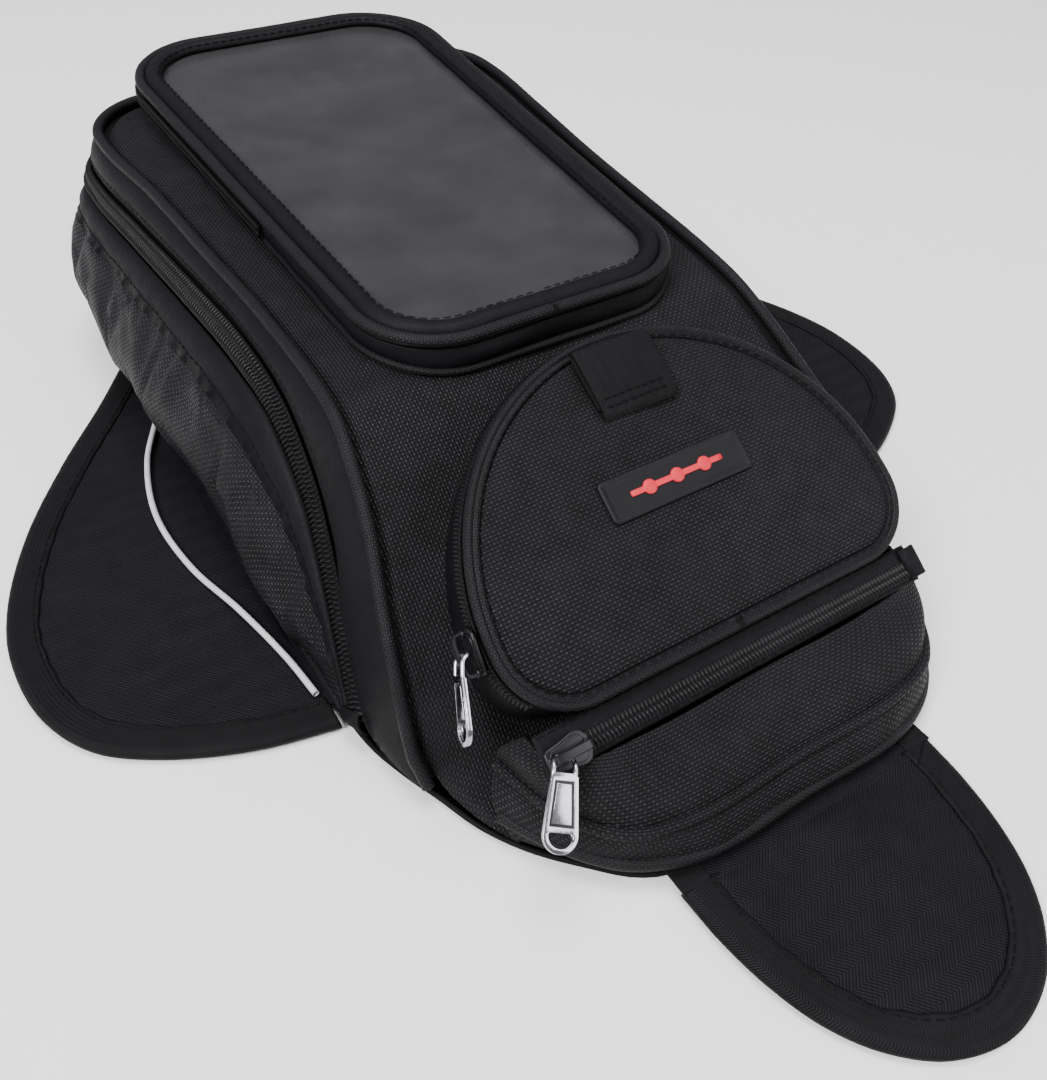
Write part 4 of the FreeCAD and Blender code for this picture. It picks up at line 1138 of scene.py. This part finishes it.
def build_front_pocket():
    """Face, crease, band and roll, then the zip with its tape, coil and folded end."""
    levels = np.linspace(0, 1.95, 30)
    s = lengths(front_grid(levels)[:, 15])[:, None]
    swell = ripple(s * 0.8, np.linspace(0, 24, 30)[None, :] * 1.6, 26, 91) * 1.1
    puff = 1.1 * np.sin(np.linspace(0, math.pi, 30)) + swell * np.sin(
        np.linspace(0.1, math.pi, 30))
    front_cloth("front_pocket_face", levels, puff, "front_pocket_panel")
    crease = front_grid([1.97])[:, 0] + vec(0, -0.4, 0)
    tube("front_pocket_crease", even(crease, count=300), 1.7, vec(0, -0.5, 0.85), "weave",
         "main_lid")
    t = np.linspace(0, 1, 18)[None, :]
    puff = (0.9 + ripple(s, t * 14, 24, 92) * 0.8) * arch(t)
    puff = puff - 0.9 * smoothstep(0.22, 0.0, np.abs(t - 0.72) * 4)
    front_cloth("front_pocket_band", np.linspace(2.02, 4.0, 18), puff, "front_pocket_base_band")
    roll = front_grid([3.32])[:, 0] + vec(0, -0.2, 0)
    tube("front_pocket_bottom_roll", even(roll, count=300), 1.9, vec(0, -0.7, 0.7), "piping",
         "main_lid")
    x, v = np.linspace(-64.5, 61.5, 120)[:, None], np.linspace(-5.4, 5.4, 15)[None, :]
    tape = FRONT_ZIP + x[..., None] * X + v[..., None] * FRONT_UP
    rise = 0.35 * np.sin(np.linspace(0, math.pi, 15))[None, :] + ripple(x, v, 24, 93) * 0.12
    tape = tape + FRONT_N * (rise - 0.1)[..., None]
    skin("front_pocket_tape", tape, 1.1, FRONT_N, "tape", "main_lid", "front_zip_tape")
    for k in (1, 13):
        stitches(f"front_tape_stitches_{k}", tape[:, k], FRONT_N, "main_lid")
    path = FRONT_ZIP + FRONT_UP * COIL_DROP + FRONT_N * 0.35
    path = path + np.linspace(-63.5, 58.2, 244)[:, None] * X
    build_coil("front_zip_teeth", path, FRONT_UP, FRONT_N, FRONT_COIL, "main_lid",
               "front_zip_coil")
    fold = [(-2.4, 0.2), (-2.6, 0.9), (-1.8, 1.75), (0, 1.95), (1.8, 1.8), (2.5, 1.0), (2.4, 0.2)]
    line = bend(np.array(fold), 37)
    path = FRONT_ZIP + (60.9 + line[:, :1]) * X + line[:, 1:] * FRONT_N
    up = unit(np.cross(FRONT_UP, np.gradient(path, axis=0)))
    section = [(-4.4, 0), (-4.2, 0.3), (4.2, 0.3), (4.4, 0), (4.2, -0.3), (-4.2, -0.3)]
    sweep("front_zip_fold", path, FRONT_UP, up, section, "webbing", "main_lid",
          "front_zip_end_tab")


# ---- magnetic flaps --------------------------------------------------------------------------
WING_ROOT, WING_FRONT, WING_REAR = 94.3, -20, 178
WING_OUTLINE = np.array([(WING_ROOT, WING_REAR), (111, 154), (132, 126.5), (151, 97), (163, 69),
                         (166.6, 50), (164, 24), (155, 7), (140, -4.5), (118, -14.5),
                         (WING_ROOT, WING_FRONT)], float)
TAIL_ROOT, TAIL_WIDTH = -107.5, 44
TAIL_HALF = np.array([(TAIL_WIDTH, TAIL_ROOT), (43, -122), (40, -137), (35.5, -149), (28, -160),
                      (16, -169.5), (0, -173.5)], float)
REFLECTIVE_ARC = np.array([(96.5, 132), (106, 112), (112, 84), (110, 56), (103.5, 32),
                           (98.5, 8), (96.5, -8)], float)
BINDING = 8.2       # the webbing's width over a flap's edge


def shore(points, outline, weight):
    """Distance of each point from a closed outline, whose sides count by their weight."""
    a, b = outline, np.roll(outline, -1, 0)
    d = b - a
    t = np.sum((points[:, None] - a) * d, 2) / np.maximum(np.sum(d * d, 1), 1e-9)
    near = a + d * np.clip(t, 0, 1)[..., None]
    return np.min(np.linalg.norm(points[:, None] - near, axis=2) * weight, axis=1)


def drawn_in(outline, weight, middle, distance):
    """The outline moved towards the middle until it is the given distance inside."""
    low, high = np.zeros(len(outline)), np.full(len(outline), 0.98)
    for _ in range(20):
        mid = (low + high) / 2
        near = shore(outline + (middle - outline) * mid[:, None], outline, weight) < distance
        low, high = np.where(near, mid, low), np.where(near, high, mid)
    return outline + (middle - outline) * low[:, None]


def build_flap(prefix, curve, root_line, on_root, to_corner, middle, flip, seed):
    """Two layers of cloth bound round the edge with ribbed webbing.

    The edge is the curve and the root's line. The root runs under the bag, unbound."""
    outline = np.vstack([curve, root_line[1:-1]])[::-1]
    held = on_root(outline)
    root = np.where(held, smoothstep(7, 15, to_corner(outline)), 0.0)
    weight = np.where(held & np.roll(held, -1), 10.0, 1.0)

    def at(q, z):
        z = np.broadcast_to(np.asarray(z, float), (len(q),))
        return np.column_stack([q[:, 0] * (-1 if flip else 1), q[:, 1], z])

    run = lengths(outline)
    free = 1 - root
    pucker = np.sin(run / 1.9 + 2.2 * ripple(run, 0, 30, seed)) * 0.1
    pucker = (pucker + ripple(run, 0, 17, seed + 1) * 0.16) * free
    # distance in from the edge, height, and share of the pucker
    section = [(9.6, 3.1, 1), (9.5, 3.6, 1), (8.9, 3.85, 0.8), (7.6, 3.7, 0.3), (5.0, 3.75, 0.15),
               (2.4, 3.7, 0.05), (0.9, 3.35, 0), (0.15, 2.7, 0), (0.0, 1.9, 0), (0.2, 1.0, 0),
               (0.9, 0.35, 0), (2.4, 0.02, 0), (9.2, 0.0, 0), (9.6, 0.25, 0), (9.4, 0.7, 0),
               (2.6, 0.8, 0), (2.0, 1.6, 0), (2.6, 2.9, 0)]
    loops = []
    for distance, z, share in section:
        q = drawn_in(outline, weight, middle, distance) if distance > 0 else outline
        q = q + unit(middle - q) * (pucker * share * 1.6)[:, None]
        z = z + pucker * share + ripple(run, distance, 28, seed + 2) * 0.12 * share
        loops.append(at(q, z * free + np.clip(z, 1.0, 2.3) * root))
    rings(f"{prefix}_webbing", loops, "webbing", prefix, f"{prefix}_binding")
    tops, flats, under = [], [], []
    first = drawn_in(outline, weight, middle, BINDING)
    for share in np.concatenate([np.linspace(1, 0.08, 34), [0.01]]):
        q = middle + (first - middle) * share
        soft = ripple(*q.T, 34, seed + 3) * 0.8 + ripple(*q.T, 15, seed + 4) * 0.2
        inner = smoothstep(1, 0.9, share)
        tops.append(at(q, 3.05 + soft * smoothstep(1.0, 0.82, share) + 0.25 * inner
                       + pucker * 0.5 * smoothstep(0.9, 1.0, share)))
        under.append(at(q, 0.72 - 0.3 * inner))
        flats.append(q)
    uv = np.stack(flats, 1)
    panel = skin(f"{prefix}_cloth", np.stack(tops, 1), 0.8, Z, "twill", prefix,
                 f"{prefix}_panel", wrap=True, closed_in=True, uv=uv)
    skin(f"{prefix}_under_cloth", np.stack(under, 1), 0.4, -Z, "base", prefix,
         f"{prefix}_lining", wrap=True, closed_in=True, uv=uv)
    bound = root < 0.4
    first = int(np.argmax(bound & ~np.roll(bound, 1)))
    pick = np.arange(first, first + int(bound.sum())) % len(outline)
    seam = drawn_in(outline, weight, middle, BINDING - 0.1)[pick]
    stitches(f"{prefix}_stitches", at(seam, 3.82 + pucker[pick] * 0.8), Z, prefix)


def hinge_cloth(name, inner, outer, up, look="twill"):
    """A strip of cloth that carries a flap on under the bag, between two edges."""
    t = np.linspace(0, 1, 15)
    grid = inner[:, None, :] + (outer - inner)[:, None, :] * t[None, :, None]
    strip = skin(name, grid, 0.9, Z, look, None, uv=grid[..., :2])
    a, b = (to_frame(e.mean(0))[0] for e in (inner, outer))
    a = b + (a - b) * up
    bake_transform(strip)


def line_at(x, y, z, count):
    """Points from three rows of numbers, where a single number stays the same."""
    return np.column_stack([np.broadcast_to(v, count) for v in (x, y, z)]).astype(float)


def build_flaps():
    """Two wings with their reflective lines, the tail, and the strips that carry them."""
    root_line = np.stack([np.full(90, WING_ROOT), np.linspace(WING_FRONT, WING_REAR, 90)], 1)
    for prefix, side, seed in (("right_wing", 1, 101), ("left_wing", -1, 121)):
        build_flap(prefix, smooth(WING_OUTLINE, 260), root_line,
                   lambda q: q[:, 0] < WING_ROOT + 0.01,
                   lambda q: np.minimum(q[:, 1] - WING_FRONT, WING_REAR - q[:, 1]),
                   vec(122.0, 62.0), side < 0, seed)
        x, y = smooth(REFLECTIVE_ARC, 160).T
        tube(f"{prefix}_reflective_tube", line_at(x * side, y, 4.7, 160), 1.0, Z, "reflective",
             prefix, f"{prefix}_reflective_piping")
        y = np.linspace(-12, 170, 120)
        hinge_cloth(f"{prefix}_fold_cloth", line_at(91.0 * side, y, 2.7, 120),
                    line_at(97.5 * side, y, 3.25, 120), 0.8)
    tail = np.vstack([TAIL_HALF, TAIL_HALF[-2::-1] * MIRROR[:2]])
    root_line = np.stack([np.linspace(-TAIL_WIDTH, TAIL_WIDTH, 60), np.full(60, TAIL_ROOT)], 1)
    build_flap("tail_flap", smooth(tail, 200), root_line, lambda q: q[:, 1] > TAIL_ROOT - 0.01,
               lambda q: TAIL_WIDTH - np.abs(q[:, 0]), vec(0.0, -134.0), False, 141)
    for name, start, end, lift, outer, look in (
            ("tail_fold_cloth", -37, 37, 0.0, -110.5, "twill"),
            ("tail_fold_binding_left", -43.9, -35.4, 0.45, -108.4, "webbing"),
            ("tail_fold_binding_right", 35.4, 43.9, 0.45, -108.4, "webbing")):
        x = np.linspace(start, end, 60)
        hinge_cloth(name, line_at(x, -98.0, 2.6 + lift, 60),
                    line_at(x, outer, 3.3 + lift, 60), 0.75, look)


# ---- sliders and pulls -----------------------------------------------------------------------
SHARP = math.radians(38)        # an edge that turns more than this is shown as one
EYE_HEIGHT = 4.5                # of the pull's eye over the slider's seat
# Sliders are (length, width). Pulls are (length, width at the top and at the foot, thickness)
# and where the plate starts below the eye.
FRONT_SLIDER, PHONE_SLIDER, MAIN_SLIDER = (12.0, 8.6), (11.0, 7.6), (12.4, 9.4)
FRONT_PULL, D_PULL = (21.8, 6.7, 8.6, 1.4, -3.6), (21.8, 6.7, 8.6, 1.4, -4.9)
PHONE_PULL, MAIN_PULL = (16.5, 5.4, 6.6, 1.2, -3.6), (22.0, 6.7, 8.6, 1.4, -4.6)


def cut_plate(outer, holes, low, high, bevel):
    """Vertices and faces of a plate cut from flat outlines, with softened edges."""
    curve = bpy.data.curves.new("cutting", "CURVE")
    curve.dimensions = "2D"
    curve.fill_mode = "BOTH"
    for loop in [outer] + holes:
        line = curve.splines.new("POLY")
        line.points.add(len(loop) - 1)
        co = np.column_stack([loop, np.zeros(len(loop)), np.ones(len(loop))])
        line.points.foreach_set("co", co.ravel())
        line.use_cyclic_u = True
    curve.extrude = (high - low) / 2 - bevel
    curve.bevel_depth = bevel
    curve.bevel_resolution = 2
    curve.offset = -bevel
    ob = shown("cutting", curve)
    shot = ob.evaluated_get(bpy.context.evaluated_depsgraph_get())
    mesh = bpy.data.meshes.new_from_object(shot)
    work = bmesh.new()
    work.from_mesh(mesh)
    bmesh.ops.remove_doubles(work, verts=work.verts, dist=0.002)
    bmesh.ops.recalc_face_normals(work, faces=work.faces)
    verts = np.array([v.co[:] for v in work.verts]) + Z * (low + high) / 2
    work.verts.index_update()
    faces = [tuple(v.index for v in f.verts) for f in work.faces]
    work.free()
    bpy.data.objects.remove(ob)
    bpy.data.curves.remove(curve)
    bpy.data.meshes.remove(mesh)
    return verts, faces


def bar(path, side, lift, ring):
    """Vertices and faces of a closed-ended bar: ring points are (along side, along lift)."""
    n, m = len(path), len(ring)
    v = path[:, None] + side[:, None] * ring[None, :, :1] + lift[:, None] * ring[None, :, 1:]
    return v.reshape(-1, 3), grid_faces(n, m, wrap_m=True) + end_caps(n, m)


def rod(path, radius):
    """A round bar along a path."""
    path = bend(path, 8 * len(path))
    along = unit(np.gradient(path, axis=0))
    side = unit(np.cross(along, vec(0.01, 0.02, 1)))
    return bar(path, side, np.cross(side, along), round_profile(radius, 12))


def strap(path, width, thick):
    """A flat bar along a path in the x-z plane, with its width along y."""
    path = bend(path, 10 * len(path))
    up = np.cross(unit(np.gradient(path, axis=0)), Y)
    w, t, r = width / 2, thick / 2, min(0.22, thick * 0.3)
    ring = np.array([(-w, -t + r), (-w + r, -t), (w - r, -t), (w, -t + r), (w, t - r),
                     (w - r, t), (-w + r, t), (-w, t - r)])
    return bar(path, np.broadcast_to(Y, path.shape), -up, ring)


def assemble(name, parts, origin, axes, looks, body, replaces):
    """One piece from shapes in local axes: parts are (verts, faces, number of the look)."""
    verts, faces, index, base = [], [], [], 0
    for v, f, k in parts:
        verts.append(origin + v @ np.stack(axes))
        faces += [tuple(base + i for i in one) for one in f]
        index += [k] * len(f)
        base += len(v)
    mesh = make(name, np.vstack(verts), faces, looks[0], body, replaces=replaces).data
    for look in looks[1:]:
        mesh.materials.append(M[look])
    mesh.polygons.foreach_set("material_index", index)
    work = bmesh.new()
    work.from_mesh(mesh)
    bmesh.ops.recalc_face_normals(work, faces=work.faces)
    for edge in work.edges:
        edge.smooth = edge.calc_face_angle(0.0) < SHARP
    work.to_mesh(mesh)
    work.free()


def slider_parts(length, width):
    """A die-cast slider: shield-shaped plates, a bridge along it, and the bridge's rivets."""
    h, w = length / 2, width / 2
    side = [(-h, 0.5 * w), (-h + 0.7, 0.66 * w), (-0.25 * h, 0.78 * w), (0.35 * h, 0.98 * w),
            (0.6 * h, w), (0.82 * h, 0.86 * w), (h, 0.45 * w)]
    shield = np.array([(-h, -0.5 * w)] + side + [(x, -y) for x, y in side[:0:-1]])
    e = h - 0.9
    line = [(-e - 0.1, 0, 0.9), (-e - 0.1, 0, 3.0), (-e + 0.35, 0, 4.15), (-e + 1.5, 0, 4.5),
            (0, 0, 4.62), (e - 1.5, 0, 4.5), (e - 0.35, 0, 4.15), (e + 0.1, 0, 3.0),
            (e + 0.1, 0, 0.9)]
    shapes = [cut_plate(shield, [], 0.0, 0.95, 0.3), cut_plate(shield * 0.8, [], 0.9, 1.35, 0.2),
              strap(line, 2.3, 0.95)]
    a = np.linspace(0, 2 * math.pi, 16, endpoint=False)
    for end in (-1, 1):
        disc = np.stack([end * (e - 0.1) + 1.15 * np.cos(a), 1.5 * np.sin(a)], 1)
        shapes.append(cut_plate(disc, [], 1.2, 2.2, 0.3))
    return [shape + (0,) for shape in shapes]


def pull_parts(length, top, bottom, thick, start):
    """A pull hanging to -y from its eye: wire loop, and a recessed plate with a D-shaped hole.

    The plate is top wide at start and bottom wide at its foot."""
    t, b, z = top / 2, bottom / 2, thick / 2
    low = -length + b
    a = np.linspace(0, math.pi, 17)
    foot = np.stack([b * np.cos(a), low - b * np.sin(a)], 1)
    outer = np.vstack([foot, [(-t, start - 0.8), (-t + 0.8, start), (t - 0.8, start),
                              (t, start - 0.8)]])
    r, a = b - 1.25, np.linspace(0, math.pi, 13)
    hole = np.vstack([np.stack([r * np.cos(a), low - 0.1 - (r - 0.15) * np.sin(a)], 1),
                      [(-r + 0.35, low + 0.45), (r - 0.35, low + 0.45)]])
    high, base = start - 1.9, low + 1.7

    def recess(edge, inset):
        wide = [t + (b - t) * (start - y) / (start - low) - edge for y in (base, high)]
        return np.array([(-wide[0], base + inset), (wide[0], base + inset),
                         (wide[1], high - inset), (-wide[1], high - inset)])

    rim = recess(1.15, 0.0)
    parts = [cut_plate(outer, [hole], -z, z - 0.42, 0.2) + (0,),
             cut_plate(outer, [hole, rim], z - 0.5, z, 0.14) + (0,),
             cut_plate(recess(1.75, 0.6), [], z - 0.5, z - 0.08, 0.12) + (0,),
             cut_plate(rim + (rim - rim.mean(0)) * 0.01, [], z - 0.5, z - 0.38, 0.02) + (1,)]
    x = t - 0.62
    half = [(-x, start - 0.9, 0), (-x, start + 0.5, 0), (-x + 0.02, -1.7, -0.35),
            (-x + 0.2, -0.5, -1.4), (-x + 0.75, 0.0, -1.9)]
    wire = half + [(0, 0.05, -1.95)] + [(-px, py, pz) for px, py, pz in half[::-1]]
    return parts + [rod(wire, 0.6) + (0,)]


def slider_and_pull(name, seat, along, normal, hang, eye_at, slider, pull):
    """A slider on its coil at seat, and its pull, which hangs from the slider's bridge."""
    n, a, down = unit(normal), unit(along), unit(hang)
    assemble(f"{name}_slider_cast", slider_parts(*slider), seat, (a, np.cross(n, a), n),
             ["slider"], f"{name}_slider_body", f"{name}_slider")
    eye = seat + a * eye_at + n * EYE_HEIGHT
    face = unit(n - down * np.dot(n, down))
    x = np.cross(face, down)
    assemble(f"{name}_pull_tab", pull_parts(*pull), eye, (x, np.cross(face, x), face),
             ["chrome", "recess"], f"{name}_pull_body", f"{name}_pull")


def build_sliders():
    seat = FRONT_ZIP + FRONT_UP * COIL_DROP + unit(FRONT_N) * 1.6 - vec(58.5, 0, 0)
    slider_and_pull("front_zip", seat, X, FRONT_N, vec(-0.534, -0.710, -0.456), -2.6,
                    FRONT_SLIDER, FRONT_PULL)
    angle = math.radians(177)
    radial = X * math.cos(angle) + D_UP * math.sin(angle)
    tangent = X * math.sin(angle) - D_UP * math.cos(angle)
    seat = D_FOOT + D_UP * D_CENTRE + radial * 67.4 - D_OUT * 6.9
    slider_and_pull("d_zip", seat, tangent, radial, vec(-0.32, -0.739, -0.593), 1.0,
                    FRONT_SLIDER, D_PULL)
    for side, x in (("left", -15.5), ("right", -3.5)):
        slider_and_pull(f"phone_zip_{side}", vec(x, 233.1, phone_z(232.0) - 7.6), X, Y, -Z, 0.0,
                        PHONE_SLIDER, PHONE_PULL)
    n = vec(0, 0.974, 0.227)
    for side, x in (("left", -7.5), ("right", 7.5)):
        slider_and_pull(f"main_zip_{side}", vec(x, 227, 64) + n * 1.6, X, n, vec(0, 0.06, -1),
                        0.0, MAIN_SLIDER, MAIN_PULL)


# ---- the whole bag, its floor, camera and light ------------------------------------------------
build_tub()
build_lid_shell()
build_phone_pocket()
build_d_pocket()
build_front_pocket()
build_flaps()
build_sliders()

for node, look in (("base_board", "board"), ("left_wing_magnets", "steel"),
                   ("right_wing_magnets", "steel"), ("tail_flap_magnets", "steel")):
    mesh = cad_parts[node].data
    mesh.materials.clear()
    mesh.materials.append(M[look])

floor_mesh = bpy.data.meshes.new("studio_floor")
floor_mesh.from_pydata([(-4, -4, 0), (4, -4, 0), (4, 4, 0), (-4, 4, 0)], [], [(0, 1, 2, 3)])
floor_mesh.materials.append(moulded("studio_paper", (0.80, 0.80, 0.80), (0.84, 0.84, 0.84),
                                    (0.85, 0.95)))
floor = shown("studio_floor", floor_mesh)
floor.location.z = -0.0004      # metres, so that the bag's bottom and the floor don't flicker

# The camera was solved from the photograph: where it aims, its angles and its distance.
TARGET = to_frame(vec(-10.935, 17.449, 0))[0]
DISTANCE = 0.333893
AZIMUTH, ELEVATION, ROLL = math.radians(-34.451), math.radians(45.651), math.radians(2.963)
back = vec(math.sin(AZIMUTH) * math.cos(ELEVATION), -math.cos(AZIMUTH) * math.cos(ELEVATION),
           math.sin(ELEVATION))
right = vec(math.cos(AZIMUTH), math.sin(AZIMUTH), 0)
up = np.cross(back, right)
right, up = (math.cos(ROLL) * right + math.sin(ROLL) * up,
             math.cos(ROLL) * up - math.sin(ROLL) * right)
lens = bpy.data.cameras.new("camera")
lens.sensor_width = 36.0
lens.lens = 33.343
lens.clip_start = 0.01
lens.clip_end = 20.0
camera = shown("camera", lens)
place = Matrix.Identity(4)
for k, column in enumerate((right, up, back, TARGET + back * DISTANCE)):
    for row in range(3):
        place[row][k] = column[row]
camera.matrix_world = place
bpy.context.scene.camera = camera

# Soft round lights aimed at the middle of the bag: place, size and power.
for name, where, size, power in (("key", (-1.1, -0.35, 1.35), 0.8, 46),
                                 ("fill", (0.9, -1.1, 1.0), 1.2, 16),
                                 ("top", (0.1, 0.15, 1.9), 1.0, 34)):
    data = bpy.data.lights.new(name, "AREA")
    data.shape = "DISK"
    data.size = size
    data.energy = power
    light = shown(name, data)
    light.location = where
    aim = Vector((0, -0.02, 0.04)) - Vector(where)
    light.rotation_euler = aim.to_track_quat("-Z", "Y").to_euler()
world = bpy.data.worlds.new("studio")
world.use_nodes = True
background = world.node_tree.nodes["Background"]
background.inputs["Color"].default_value = (0.95, 0.96, 1.0, 1.0)
background.inputs["Strength"].default_value = 0.36
bpy.context.scene.world = world
